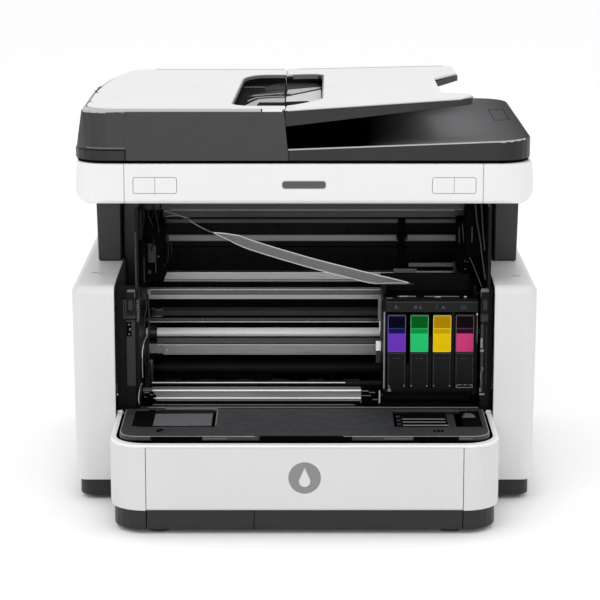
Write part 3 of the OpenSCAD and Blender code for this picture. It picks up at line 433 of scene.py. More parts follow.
# Carriage rod: near-white and almost not metallic, so its whole face reads bright as a painted reflection.
ROD_PAINTED_SHINE = metal("rod_painted_shine", (0.97, 0.97, 0.98), 0.3, stretch=(0.2, 3, 3), depth=0.015, metallic=0.05)
STEEL_BRIGHT = metal("bright_steel", (0.34, 0.35, 0.36), 0.34, stretch=(0.2, 3, 3), depth=0.015, metallic=0.4)
SCREW = metal("screw_steel", (0.55, 0.55, 0.56), 0.3, stretch=(6, 6, 6))
FILM = moulded("encoder_film", (0.02, 0.0205, 0.021), 0.25, 0.4, 0.03, 0.1)
RIBBON = moulded("ribbon_film", (0.125, 0.129, 0.136), 0.32, 0.4, 0.05, 0.08)
RIBBON_EDGE = moulded("ribbon_edge", (0.6, 0.61, 0.62), 0.3, 0.4, 0.05, 0.05)
GLASS = clear_glass("platen_glass")

NODE_LOOKS = {
    WHITE: ["scanner_housing", "scanner_front_panel", "button_left", "button_right"],
    WHITE_SIDE: ["left_side_cover", "right_side_cover"],
    WHITE_NOSE: ["left_front_corner", "right_front_corner", "cassette_front"],
    RIM_WHITE: ["door_outer_shell"],
    WHITE_TOP: ["feeder_hatch", "feeder_tray_top"],
    FEEDER_DARK: ["feeder_body"],
    LID_DARK: ["lid_base", "feeder_tray_frame"],
    BASE_DARK: ["base_frame", "output_shelf", "rear_cover", "cassette_tray", "rear_door"],
    LEG_DARK: ["scanner_supports"],
    FRAME_BLACK: ["left_side_frame", "right_side_frame", "rear_bulkhead", "print_platen",
                  "service_station", "carriage_frame", "scan_bar"],
    BEAM_GREY: ["crossmembers"],
    LINER_DARK: ["door_liner"],
    GUIDE_GREY: ["left_paper_guide", "right_paper_guide", "paper_length_stop"],
    NYLON: ["transfer_gear"],
    FOAM_WHITE: ["lid_backing"],
    RUBBER: ["rubber_feet", "timing_belt", "feeder_pick_roller"],
    ROLLER: ["feed_roller", "exit_roller"],
    WINDOW: ["status_window"],
    INLET: ["power_inlet"],
    STEEL: ["rear_rail", "lift_plate", "drive_pulley", "idler_pulley"],
    STEEL_BRIGHT: ["paper_guide_bar"],
    STEEL_DARK: ["carriage_motor", "door_hinge_pins"],
    ROD_PAINTED_SHINE: ["carriage_rod"],
    SCREW: ["frame_screws"],
    FILM: ["encoder_strip"],
    GLASS: ["platen_glass"],
    EMBLEM_GREY: ["front_emblem"],
}
SOFT_EDGES = {
    2.0: ["scanner_supports"],
    0.9: ["left_side_cover", "right_side_cover", "scanner_housing", "door_outer_shell",
          "lid_base", "feeder_body", "base_frame"],
    0.5: ["left_front_corner", "right_front_corner", "cassette_front", "feeder_tray_frame",
          "cassette_tray", "door_liner", "carriage_frame", "rear_cover", "rear_door"],
    0.3: ["scanner_front_panel", "button_left", "button_right", "rear_rail", "paper_guide_bar",
          "print_platen", "service_station", "output_shelf", "left_paper_guide", "right_paper_guide",
          "paper_length_stop", "lift_plate", "scan_bar", "power_inlet", "lid_backing", "status_window"],
}


def dress_cad_nodes():
    for material, names in NODE_LOOKS.items():
        for name in names:
            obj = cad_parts[name]
            for s in obj.material_slots:
                s.material = material
    for width, names in SOFT_EDGES.items():
        for name in names:
            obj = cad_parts[name]
            weld = obj.modifiers.new("weld", "WELD")
            weld.merge_threshold = 2e-6
            merge = obj.modifiers.new("merge flats", "DECIMATE")
            merge.decimate_type = "DISSOLVE"
            merge.angle_limit = math.radians(0.5)
            add_bevel(obj, width)


dress_cad_nodes()


# ---------------------------------------------------------------- cartridges

# Bands of each label, from the bottom up: bright part, mid tint, thin line, dark part
LABEL_COLORS = {
    "violet": ((0.16, 0.04, 0.52), (0.008, 0.008, 0.10), (0.03, 0.04, 0.16), (0.0012, 0.0018, 0.010)),
    "green": ((0.022, 0.60, 0.17), (0.004, 0.30, 0.06), (0.03, 0.42, 0.12), (0.0015, 0.105, 0.012)),
    "yellow": ((0.86, 0.59, 0.003), (0.62, 0.38, 0.004), (0.85, 0.60, 0.03), (0.45, 0.25, 0.001)),
    "magenta": ((0.68, 0.055, 0.22), (0.03, 0.004, 0.018), (0.10, 0.05, 0.075), (0.006, 0.003, 0.005)),
}
RING_COLORS = {
    "violet": (0.10, 0.07, 0.32), "green": (0.06, 0.46, 0.17),
    "yellow": (0.86, 0.66, 0.06), "magenta": (0.14, 0.045, 0.08),
}
LABEL_LOW, LABEL_HIGH = 141.8, 177.3


def boxes(name, material, body, corners, bevel=0.2):
    """One piece made of several eased bars, each given by its low and high corner in one row."""
    def build(bm):
        for row in corners:
            add_box(bm, row[:3], row[3:])
    return piece(name, material, body, build, bevel)


def tubes(name, material, body, paths, radius, sides=8):
    """One piece made of several round runs through points in millimetres."""
    def build(bm):
        for path in paths:
            add_tube(bm, path, radius, sides)
    return piece(name, material, body, build)


def join_sections(bm, sections):
    """A solid through a run of four-cornered sections, closed at both ends."""
    rings = [[bm.verts.new(Vector(corner) * MM) for corner in section] for section in sections]
    for m, n in zip(rings, rings[1:]):
        for k in range(4):
            j = (k + 1) % 4
            bm.faces.new((m[k], m[j], n[j], n[k]))
    bm.faces.new(rings[0])
    bm.faces.new(rings[-1][::-1])


def band(bm, side_a, side_b, a_low, a_high, b_low, b_high):
    """A solid band between two plan lines with the same number of points, each side with its own heights."""
    join_sections(bm, [((*a, a_low), (*a, a_high), (*b, b_high), (*b, b_low))
                       for a, b in zip(side_a, side_b)])


def make_cartridges():
    for tint, (bright, mid, line, dim) in LABEL_COLORS.items():
        node = "cartridge_" + tint
        body = "ink_" + tint
        lo, hi = (v / MM for v in (low(node), high(node)))
        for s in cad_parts[node].material_slots:
            s.material = INK_BODY
        label = printed_label("label_" + tint, [
            (0.0, bright), (0.505, mid), (0.635, line), (0.66, dim),
        ], LABEL_LOW, LABEL_HIGH)
        edge = moulded("label_edge_" + tint, RING_COLORS[tint], 0.3, 0.4, 0.05, 0.04)

        plate(node + ".label", label, body,
              rounded(lo.x + 1.0, LABEL_LOW, hi.x - 1.0, LABEL_HIGH, 0.5, 3), "y", -84.2, -83.2, 0.1)
        ring_piece(node + ".label_edge",
                   rounded(lo.x + 0.45, LABEL_LOW - 0.5, hi.x - 0.45, LABEL_HIGH + 0.5, 0.8, 3),
                   rounded(lo.x + 1.05, LABEL_LOW + 0.1, hi.x - 1.05, LABEL_HIGH - 0.1, 0.4, 3),
                   "y", -84.35, -83.5, edge, body, 0.05)
        mid_x = (lo.x + hi.x) / 2
        boxes(node + ".grip", DETAIL_GREY, body, [
            (lo.x + 0.3, -84.5, 139.4, hi.x - 0.3, -83.6, 140.3),
            (lo.x + 0.6, -84.4, 178.4, hi.x - 0.6, -83.4, 178.9),
        ], 0.15)
        boxes(node + ".ribs", GEAR_BLACK, body, [
            (lo.x + 0.9, -84.45, 109, lo.x + 1.5, -83.7, 137),
            (hi.x - 1.5, -84.45, 109, hi.x - 0.9, -83.7, 137),
            (mid_x - 3.5, -84.4, 134.6, mid_x - 0.8, -83.7, 135.3),
            (mid_x + 0.8, -84.4, 134.6, mid_x + 3.5, -83.7, 135.3),
        ], 0.12)
        boxes(node + ".catches", EDGE_MID, body, [
            (lo.x + 0.9, -86.9, 107.2, lo.x + 2.1, -84.2, 108.4),
            (hi.x - 2.1, -86.9, 107.2, hi.x - 0.9, -84.2, 108.4),
        ], 0.15)
    lo, hi = (v / MM for v in (low("cartridge_magenta"), high("cartridge_magenta")))
    boxes("cartridge_magenta.foot_lines", EDGE_MID, "ink_magenta", [
        (lo.x + 0.6, -86.9, 106.0, hi.x - 0.6, -86.3, 106.5),
        (lo.x + 2.4, -86.8, 108.6, lo.x + 7.0, -86.2, 109.2),
        (lo.x + 8.6, -86.8, 108.6, lo.x + 11.4, -86.2, 109.4),
        (lo.x + 13.2, -86.8, 108.6, hi.x - 1.6, -86.2, 109.1),
    ], 0.1)


def make_ribbon():
    """Flat ribbon cable on its edge, from the frame down to the carriage."""
    lo, hi = (v / MM for v in (low("flex_cable"), high("flex_cable")))
    bottom = [
        (-112, 266), (-100, 259), (-86, 252.6), (-77, 248.4), (-55, 238),
        (0, 220.9), (40, 210.2), (66, 203.9), (84, 203.9), (104, 203.9),
    ]
    line = smooth_path([Vector((x, 0, z)) for x, z in bottom], 8)
    tall = 10.6

    def height(x):
        grow = min(1.0, max(0.0, (x + 90) / 26))
        fade = min(1.0, max(0.0, (104 - x) / 38))
        return 0.7 + (tall - 0.7) * grow * fade

    def strip(bm, lift_low, lift_high, y0, y1):
        sections = []
        for p in line:
            z0, z1 = p.z + lift_low(p.x), p.z + lift_high(p.x)
            sections.append(((p.x, y0, z0), (p.x, y0, z1), (p.x, y1, z1), (p.x, y1, z0)))
        join_sections(bm, sections)

    def face(bm):
        strip(bm, lambda x: 0.3, lambda x: height(x) - 0.3, lo.y, lo.y + 0.5)

    def rims(bm):
        strip(bm, lambda x: 0, lambda x: 0.75, lo.y - 0.15, lo.y + 0.7)
        strip(bm, lambda x: height(x) - 0.9, height, lo.y - 0.15, lo.y + 0.7)

    def lines(bm):
        for share in (0.28, 0.46, 0.64):
            strip(bm, lambda x: share * height(x), lambda x: share * height(x) + 0.22,
                  lo.y - 0.04, lo.y + 0.2)

    cable = piece("ribbon.face", RIBBON, "chassis", face)
    edges = piece("ribbon.edges", RIBBON_EDGE, "chassis", rims)
    tracks = piece("ribbon.tracks", DETAIL_GREY, "chassis", lines)
    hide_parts("flex_cable")
    for obj in (cable, edges, tracks):
        obj.parent = None
        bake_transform(obj)
    tubes("ribbon.tail", EDGE_MID, "chassis", [
        [(-112, lo.y + 0.3, 268.3), (-118, lo.y + 2, 269.8), (-127, lo.y + 6, 270.6), (-136, lo.y + 10, 268.4)],
        [(-116, lo.y + 3, 268.2), (-125, lo.y + 6, 271.5), (-138, lo.y + 8, 274.5)],
    ], 0.3, 6)


def make_rails():
    """Lit edges, seams, clips and fixings on the rails and beams across the bay."""
    left, right = FRAME_LEFT / MM + 3, FRAME_RIGHT / MM - 3

    # Thin near-white rods along bar edges: painted highlights.
    def glints(bm):
        for x0, x1, y, z, r in (
            (left, right, 59.6, 191.5, 0.5), (left, right, 35.6, 178.6, 0.5), (-150, right, 18.3, 124.7, 0.55),
            (-150, 56, -62.3, 97.0, 1.3), (-150, 56, -62.3, 89.2, 1.0), (-152, 41, -36.5, 98.6, 0.7),
            (left, right, 9.6, 150.6, 0.35), (-150, right, 3.1, ROD_Z + 2.4, 0.45),
        ):
            add_rod(bm, (x0, y, z), (x1, y, z), r, 14)

    piece("rails.bright_edges", EDGE_BRIGHT, "chassis", glints)
    boxes("rails.mid_edges", EDGE_MID, "chassis", [
        (-148, -62.4, 86.4, 55.5, -61.8, 87.2), (left + 5, -98.4, 88.6, 169, -97.8, 89.3),
        (-150, 18.2, 115.6, right, 18.7, 116.2), (-150, -62.4, 82.0, 50, -61.9, 83.0),
        (41, -13.0, 91.6, 73, -12.3, 92.4), (-132, -28.4, 278.4, 157, -27.8, 279.1),
        (-132, -28.4, 272.5, 157, -27.8, 273.0), (left, 59.5, 182.0, right, 60.1, 182.6),
        (-140, -2.3, 266.9, 150, -1.8, 267.5),
    ], 0.12)
    boxes("rails.grooves", BLACK_PARTS_AND_SHADE, "chassis", [
        (left, 35.6, 173.4, right, 36.1, 174.1), (-148, -62.35, 84.1, 55.5, -61.9, 86.2),
        (left, 59.6, 183.6, right, 60.1, 184.2),
    ], 0.08)
    boxes("rails.upper_face", STEEL_DARK, "chassis", [(left, 35.55, 174.1, right, 36.1, 178.3)], 0.1)
    boxes("rails.lower_rail", STEEL_DARK, "chassis", [
        (-150, 18.4, 125.9, right, 20, 132.2), (-146, 17.9, 131.4, right - 6, 18.5, 132.1),
    ], 0.2)
    boxes("rails.paper_rail", STEEL, "chassis", [(-144, 18.5, 114.2, right, 21.9, 125.1)], 0.3)

    boxes("rails.thin_bar", DETAIL_GREY, "chassis", [
        (-136, 11.3, 252.4, 93, 12.1, 255.8), (103, 11.3, 252.4, 150, 12.1, 255.8),
    ], 0.15)
    boxes("rails.bar_face", BAR_GREY, "chassis", [
        (-141, 95.3, 218.4, 96, 96.1, 224.3), (108, 95.3, 218.4, 160.4, 96.1, 224.3),
    ], 0.15)
    boxes("rails.bar_lines", EDGE_MID, "chassis", [
        (-141, 94.9, 223.5, 96, 95.5, 224.2), (-141, 94.9, 218.3, 160, 95.5, 218.8),
    ], 0.08)
    boxes("rails.step_plates", RIM_GREY, "chassis", [
        (108, 66, 196.4, 156, 70, 200.2), (92, 57.4, 190.6, 116, 59.4, 196.0),
    ], 0.3)
    boxes("rails.end_plate", EDGE_BRIGHT, "chassis", [(115, 56.4, 187.4, 159.6, 59.2, 193.6)], 0.4)
    boxes("rails.post", BLACK_PARTS_AND_SHADE, "chassis", [
        (94.5, 8.5, 214, 101.5, 13, 257), (92.6, 7.4, 238, 103.4, 9.6, 243), (92.6, 7.4, 226, 103.4, 9.6, 229),
    ], 0.4)

    def heads(bm):
        for x, y, z in ((-150, 59.4, 187), (150, 55.9, 190.4), (-140, 18.3, 119.5), (70, 18.3, 119.5)):
            add_rod(bm, (x, y, z), (x, y - 0.9, z), 1.6, 18, 1.3)
            add_rod(bm, (x, y - 0.8, z), (x, y - 1.1, z), 0.7, 6)

    piece("rails.screws", SCREW, "chassis", heads, 0.1)

    def caps(bm):
        y, z = ROD_Y, ROD_Z
        for x0, x1 in ((left - 0.4, left + 7.6), (right - 5, right)):
            add_rod(bm, (x0, y, z), (x1, y, z), 6.6, 30)
            add_rod(bm, (x0 + 1.2, y, z), (x1 + 0.5 if x1 < 0 else x1 - 0.2, y, z), 5.8, 30)

    piece("rod.bearings", GEAR_BLACK, "chassis", caps, 0.3)
    boxes("guide_bar.clips", BLACK_PARTS_AND_SHADE, "chassis", [
        (-160, -64, 83.6, -148.8, -49.6, 96.4), (-149.2, -63.2, 84, -146.5, -50, 93),
        (56.4, -64, 83.6, 76.6, -49.6, 98.6),
    ], 0.6)
    boxes("guide_bar.clip_edges", EDGE_MID, "chassis", [
        (-158.4, -64.4, 94.9, -153.0, -63.9, 95.7), (-152.4, -64.4, 92.9, -149.4, -63.9, 93.7),
        (-158.4, -64.4, 90.8, -155.4, -63.9, 91.4), (57, -64.4, 96.6, 63.5, -63.9, 97.6),
        (64, -64.4, 95.2, 70.0, -63.9, 96.0), (57, -64.4, 92.0, 66.0, -63.9, 92.6),
        (67.5, -64.4, 88.0, 73.4, -63.9, 88.7),
    ], 0.12)
    boxes("guide_bar.tab", EDGE_BRIGHT, "chassis", [(73.6, -64.5, 84.4, 75.0, -63.8, 97.6)], 0.2)


def helix(x, y, z, rx, ry, count, per_turn, drop):
    """Points of a flattened coil that winds down from z, in millimetres."""
    turns = [2 * math.pi * i / per_turn for i in range(count)]
    return [(x + rx * math.cos(a), y + ry * math.sin(a), z - i * drop) for i, a in enumerate(turns)]


def make_left_works():
    """Springs, leads and brackets at the left end of the bay."""
    boxes("left_works.housing", BLACK_PARTS_AND_SHADE, "chassis", [
        (-159.8, -62, 206.5, -137.5, -20, 262), (-159.8, -88, 206.5, -152.6, -62, 252),
        (-157, -18, 258, -141, 8, 286),
    ], 1.2)
    boxes("left_works.panel", WORKS_GREY, "chassis", [
        (-156.4, -63.4, 226, -146.0, -61.9, 243.4), (-157.8, -64.6, 242.8, -147.4, -62.2, 244.8),
        (-163.3, -94.4, 206, -161.6, -92.9, 262),
    ], 0.4)
    boxes("left_works.edges", DETAIL_GREY, "chassis", [
        (-145.6, -63.6, 216, -144.9, -62, 243), (-136.9, -60, 222, -136.4, -40, 223),
        (-157.6, -65.0, 244.4, -149.6, -64.3, 245.1), (-162.9, -94.8, 222, -162.4, -94.2, 246),
        (-155.2, -88.5, 212, -154.7, -87.9, 236),
    ], 0.1)

    def bolts(bm):
        for x, y, z, r in ((-151.6, -63.4, 217, 2.3), (-139.5, -21.5, 206.5, 2.6), (-142.6, -62.6, 232, 1.2)):
            add_rod(bm, (x, y + 1.2, z), (x, y - 1.4, z), r, 20, r * 0.85)
            add_rod(bm, (x, y - 1.3, z), (x, y - 1.9, z), r * 0.5, 6)

    piece("left_works.bolts", DETAIL_GREY, "chassis", bolts, 0.15)
    tubes("left_works.leads", INK_BODY, "chassis", [
        [(-158, -66, 288), (-156, -68, 270), (-159, -72, 252), (-157, -78, 232), (-158.5, -84, 212),
         (-158, -90, 196)],
        [(-150, -30, 288), (-148, -40, 274), (-151, -52, 262), (-147, -64, 250), (-149, -66, 238)],
        [(-144, -20, 289), (-142, -30, 276), (-145, -44, 264)],
        [(-154.5, -90, 206), (-153, -92, 190), (-155.5, -92, 172), (-153.5, -91, 152), (-155, -91, 132)],
        [(-151.5, -92, 200), (-150.6, -93, 176), (-151.6, -92, 150), (-150.8, -92, 120)],
    ], 0.9)
    tubes("left_works.lead_lines", DETAIL_GREY, "chassis", [
        [(-154.2, -91.6, 200), (-152.8, -93, 188), (-155, -93, 172), (-153.6, -92, 160)],
        [(-150.9, -93.8, 196), (-150.2, -94, 176), (-150.9, -93.4, 160)],
        [(-147, -64.8, 262), (-151.5, -66.6, 274), (-149.6, -66, 288)],
        [(-141.5, -64, 256), (-143.6, -65, 270), (-146.5, -66, 287)],
        [(-134, -50, 246), (-133.6, -50, 236), (-134.4, -50, 224)],
        [(-130.6, -50, 244), (-130.2, -50, 232)],
    ], 0.28, 6)

    coil = helix(-160.8, -95.6, 196, 1.3, 0.9, 64, 8, 0.34)
    tubes("left_works.spring", EDGE_MID, "chassis", [coil], 0.28, 6)
    tubes("left_works.lever", EDGE_MID, "chassis", [
        [(-151.6, -92, 161), (-155.4, -93, 154), (-157.2, -93.5, 144), (-157.6, -93.5, 132),
         (-157.4, -93.5, 118)],
        [(-158.2, -93, 112), (-160.4, -94, 107), (-161.4, -94.4, 99), (-161.2, -94.4, 91.5)],
    ], 0.45, 8)
    tubes("left_works.lever_shine", EDGE_BRIGHT, "chassis", [
        [(-160.6, -94.9, 106), (-161.6, -95.2, 99), (-161.4, -95.2, 93)],
        [(-156.2, -94.2, 151), (-157.3, -94.4, 145), (-157.6, -94.4, 138)],
    ], 0.28, 8)
    boxes("left_works.post_cap", RAMP_DARK, "chassis", [
        (-171.6, -98.8, 197.6, -163.4, -92.6, 205.4), (-171.0, -98.2, 205.2, -163.8, -93.6, 206.0),
    ], 0.7)
    boxes("left_works.post_block", WORKS_GREY, "chassis", [
        (-175.6, -98.5, 177.6, -163.2, -92.8, 196.6), (-172.6, -98.6, 110.6, -163.6, -92.9, 176.2),
    ], 0.6)
    boxes("left_works.post_marks", BLACK_PARTS_AND_SHADE, "chassis", [
        (-173.9, -98.75, 180.4, -165.4, -98.4, 181.0), (-173.9, -98.75, 181, -173.4, -98.4, 194.4),
        (-165.8, -98.75, 181, -165.3, -98.4, 194.4), (-172.2, -98.8, 160.2, -167.4, -98.5, 174.4),
    ], 0.05)
    boxes("side_frames.fillers", BLACK_PARTS_AND_SHADE, "chassis", [
        (-186.2, -97, 97.5, -182.8, -92, 106), (181.2, -97, 97.5, 184.4, -92, 106),
    ], 0.2)
    boxes("left_works.post_bits", EDGE_MID, "chassis", [
        (-170.6, -98.95, 171.6, -168.6, -98.7, 172.4), (-169.2, -98.95, 166.2, -168.2, -98.7, 168.4),
        (-170.4, -98.95, 162.2, -168.8, -98.7, 163.0),
    ], 0.05)


def make_right_works():
    """Brackets, leads and fixings at the right end of the bay."""
    boxes("right_works.housing", BLACK_PARTS_AND_SHADE, "chassis", [
        (152, -24, 208, 176.6, 10, 262), (158, -60, 232, 176.8, -24, 286), (160, 12, 196, 176.8, 34, 286),
    ], 1.2)
    tubes("right_works.leads", GEAR_BLACK, "chassis", [
        [(166, -62, 288), (168, -64, 268), (171, -70, 250), (173, -78, 232), (175.4, -86, 214)],
        [(172, -62, 288), (173.6, -66, 262), (175.4, -74, 240)],
    ], 0.9)
    tubes("right_works.edges", RAMP_DARK, "chassis", [
        [(161.4, -61, 231), (164.8, -68, 224), (168.6, -78, 215), (171.6, -88, 207)],
        [(153.4, -25, 254), (153.6, -25, 238)],
        [(156.6, -25.4, 258), (157.4, -25.4, 246), (158.6, -26, 236)],
        [(163.4, -61, 262), (163.6, -61, 246)],
    ], 0.3, 6)
    boxes("right_works.specks", RAMP_DARK, "chassis", [
        (158.6, -25.2, 219.4, 160.4, -24, 220.4), (161.6, -25.2, 219.0, 163.0, -24, 219.9),
        (159.2, -25.2, 211.4, 160.6, -24, 212.6),
    ], 0.2)
    boxes("right_works.post_cap", RAMP_DARK, "chassis", [
        (170.2, -98.8, 198.0, 178.2, -92.6, 206.4), (170.8, -98.6, 206.2, 177.6, -93.6, 207.0),
    ], 0.7)
    boxes("right_works.post_block", WORKS_GREY, "chassis", [(170.4, -98.8, 174.4, 178.2, -92.7, 197.0)], 0.6)
    boxes("right_works.rail", DETAIL_GREY, "chassis", [
        (171.0, -97.6, 104, 173.4, -94.8, 172), (176.0, -97.6, 112, 176.8, -95.6, 170),
    ], 0.3)
    boxes("right_works.bracket", EDGE_MID, "chassis", [
        (170.6, -98.4, 148.6, 172.8, -97.4, 158.4), (170.4, -98.2, 144.6, 174.0, -97.2, 147.0),
        (170.2, -98.2, 101.4, 175.2, -97.4, 103.2), (170.2, -98.0, 104.6, 171.4, -97.4, 108.8),
    ], 0.25)
    tubes("right_works.spring", EDGE_MID, "chassis", [
        [(171.4, -98.1, 128), (172.8, -98.3, 129.6), (173.6, -98.1, 127.2), (171.8, -97.9, 125.4),
         (171.2, -97.9, 119), (172.2, -98, 112)],
    ], 0.3, 6)


def make_carriage_details():
    lo, hi = (v / MM for v in (low("carriage_frame"), high("carriage_frame")))
    boxes("carriage.header", PANEL_GREY, "carriage", [
        (lo.x + 2.1, -87.4, 181.8, hi.x - 0.1, -86.9, 191.6),
    ], 0.2)
    # Light grey strips along the carriage's edges: painted highlights.
    boxes("carriage.edges", RIM_GREY, "carriage", [
        (lo.x + 0.2, -82.6, 104, lo.x + 1.5, -81.9, 181), (lo.x + 14, -72.6, 194, lo.x + 32, -71.9, 194.7),
        (lo.x + 40, -72.6, 194, lo.x + 74, -71.9, 194.6), (lo.x + 2.5, -80.6, 194, lo.x + 8.5, -79.9, 194.5),
        (hi.x - 0.9, -82.5, 150, hi.x - 0.3, -81.9, 176),
    ], 0.12)
    boxes("carriage.header_line", DETAIL_GREY, "carriage", [(lo.x + 2, -87.6, 191.4, hi.x, -86.8, 192.3)], 0.12)
    boxes("carriage.shine", EDGE_BRIGHT, "carriage", [
        (lo.x + 16, -73.0, 194.3, lo.x + 24, -72.5, 194.8), (lo.x + 50, -74.8, 194, lo.x + 56, -74.2, 194.5),
        (lo.x + 78.6, -74.8, 194, lo.x + 81.2, -73.2, 194.9),
        (hi.x - 1.4, -82.9, 177.5, hi.x - 0.3, -82.2, 180.0),
    ], 0.15)

    def icons(bm):
        y0, y1, z = -87.75, -87.35, 187
        drop = [(0, 2.4)] + arc(0, -0.5, 1.5, 25, -205, 10)
        add_prism(bm, [(89 + u, z + v) for u, v in drop], "y", y0, y1)
        add_box(bm, (91.4, y0, z - 1.6), (93.2, y1, z - 0.9))
        add_prism(bm, rounded(106.4, z - 1.8, 109.2, z + 1.4, 0.5, 3), "y", y0, y1)
        add_prism(bm, [(110.6, z - 1.8), (114.4, z - 1.8), (112.5, z + 1.8)], "y", y0, y1)
        add_prism(bm, [(128.6 + u, z + v) for u, v in arc(0, 1.2, 0.7, 0, 330, 10)], "y", y0, y1)
        add_prism(bm, [(128.6 + u, z + v) for u, v in arc(0, -1.2, 0.7, 0, 330, 10)], "y", y0, y1)
        pen = [(133.2, z - 1.8), (136.6, z - 1.8), (136.6, z - 0.6), (134.6, z + 1.6), (133.6, z + 1.0)]
        add_prism(bm, pen, "y", y0, y1)
        for i in range(3):
            add_box(bm, (151.6, y0, z - 1.9 + 1.4 * i), (157.4, y1, z - 1.3 + 1.4 * i))

    piece("carriage.icons", GEAR_BLACK, "carriage", icons)
    wrap = helix(73.6, -78, 193, 1.6, 1.0, 60, 6, 0.36)
    tubes("carriage.lead_wrap", RIM_GREY, "carriage", [wrap], 0.42, 6)
    boxes("carriage.flag", EDGE_BRIGHT, "carriage", [
        (70.4, -58.6, 136.2, 75.8, -55.4, 146.4), (73.8, -60.0, 156.2, 75.0, -59.0, 167.0),
    ], 0.5)
    boxes("carriage.flag_arm", DETAIL_GREY, "carriage", [
        (70.6, -57.8, 124.0, 75.6, -55.6, 135.8), (74.6, -60.2, 146.8, 77.4, -55, 170),
    ], 0.4)
    boxes("carriage.side_lever", EDGE_MID, "carriage", [
        (81.4, -84.6, 101.6, 84.8, -83.8, 104.2), (82.2, -84.9, 104.0, 84.2, -84.2, 106.0),
    ], 0.2)
    plate("carriage.ribbon_clamp", GEAR_BLACK, "carriage", rounded(68, -58, 108, -52, 1.0, 3),
          "z", 203.0, 203.7, 0.2)


# ---------------------------------------------------------------- document feeder

SPLIT = high("feeder_hatch")[0] / MM
HATCH_TOP = FEEDER_TOP / MM
HATCH_LOW = HATCH_TOP - 2.2
TRAY_X0, TRAY_Y0 = low("feeder_tray_top")[0] / MM, low("feeder_tray_top")[1] / MM
TRAY_X1, TRAY_Y1 = high("feeder_tray_top")[0] / MM, high("feeder_tray_top")[1] / MM
TRAY_RISE, TRAY_DROP = 12, 8
RAMP_BASE, RAMP_TOP, RECESS_TOP = 375.0, 377.0, 377.5
HATCH_THROAT = (
    [(SPLIT, 172)] + oval(-38, 124, 26, 48, 90, 180, 12) + arc(-50, -70, 20, 180, 270, 8) + [(SPLIT, -90)]
)
TRAY_THROAT = (
    [(TRAY_X0, -90), (-10, -87)] + smooth_corner((-10, -87), (7, -73), (18, -50), 6)
    + oval(7, 154, 14, 18, 0, 90, 8) + [(TRAY_X0, 172)]
)


def offset(path, distance):
    """The path moved sideways, to the left of its direction for a positive distance."""
    out = []
    for i, p in enumerate(path):
        a, b = path[max(i - 1, 0)], path[min(i + 1, len(path) - 1)]
        dx, dy = b[0] - a[0], b[1] - a[1]
        size = math.hypot(dx, dy) or 1.0
        out.append((p[0] - dy / size * distance, p[1] + dx / size * distance))
    return out


def tray_rise(x, y):
    """How far the input tray's skin stands above its left edge."""
    u = (x - TRAY_X0) / (TRAY_X1 - TRAY_X0)
    v = (y - TRAY_Y0) / (TRAY_Y1 - TRAY_Y0)
    return u * (TRAY_RISE - TRAY_DROP * v)


def lift_by(bm, rise):
    for v in bm.verts:
        v.co.z += rise(v.co.x / MM, v.co.y / MM) * MM


def cut_up(bm, xs, ys):
    """Cuts the mesh along planes, so that a gentle slope can bend its big faces."""
    for axis, places in ((Vector((1, 0, 0)), xs), (Vector((0, 1, 0)), ys)):
        for place in places:
            bmesh.ops.bisect_plane(bm, geom=bm.verts[:] + bm.edges[:] + bm.faces[:],
                                   plane_co=axis * place * MM, plane_no=axis)


def follow_tray(bm, ys=()):
    """Lets a piece of the input tray follow the slope of its skin."""
    cut_up(bm, [20 + 20 * i for i in range(7)], ys)
    lift_by(bm, tray_rise)


def plan_curve(points, steps=5):
    return [(v.x, v.y) for v in smooth_path([Vector((*p, 0)) for p in points], steps)]


def hatch_side(out):
    """Plan of the hatch's left side and rear corner, moved outwards by some millimetres."""
    side = plan_curve([(-207.8 - out, -40), (-207.6 - out, 0), (-205.8 - out, 50), (-202.4 - out, 95),
                       (-197.1 - out, 146.5), (-187.2 - out, 198)])
    return side + arc(-166, 197.5, 21 + out, 170, 90, 10)


def make_hatch():
    """The white door over the feeder's rollers, with its hinge pins and the lining of the throat."""
    def skin(bm):
        side = [v for v in hatch_side(0) if v[1] > 18]
        outline = [(SPLIT, -108.5)] + arc(-180.8, -81.5, 27, 270, 180, 12)
        for y0, y1 in ((-62.5, -57.5), (11.5, 16.5)):
            outline += [(-207.8, y0), (-204.2, y0), (-204.2, y1), (-207.7, y1)]
        outline += side + [(SPLIT, 218.5)] + HATCH_THROAT
        add_prism(bm, outline, "z", HATCH_LOW, HATCH_TOP)
        for v in bm.verts:
            if v.co.x > (SPLIT - 0.01) * MM:
                v.co.x += (2.1 if v.co.z > (HATCH_TOP - 1) * MM else 1.2) * MM

    cover = piece("hatch.skin", WHITE_TOP, "hatch", skin, 0.6)
    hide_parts("feeder_hatch")

    def pins(bm):
        for y in (-62, 12):
            add_rod(bm, (-206.4, y - 2, 381.9), (-206.4, y + 6, 381.9), 0.8, 16)

    piece("hatch.pins", SCREW, "hatch", pins, 0.1)
    boxes("hatch.rear_edge", RIM_LIGHT, "hatch", [(-160, 217.6, 382.9, SPLIT - 0.6, 218.5, 384.0)], 0.2)

    def lining(bm):
        path = HATCH_THROAT
        band(bm, offset(path, -0.05), offset(path, 1.3), 379.6, 383.1, 379.6, 382.7)

    piece("hatch.throat_lining", THROAT_GREY, "hatch", lining, 0.15)


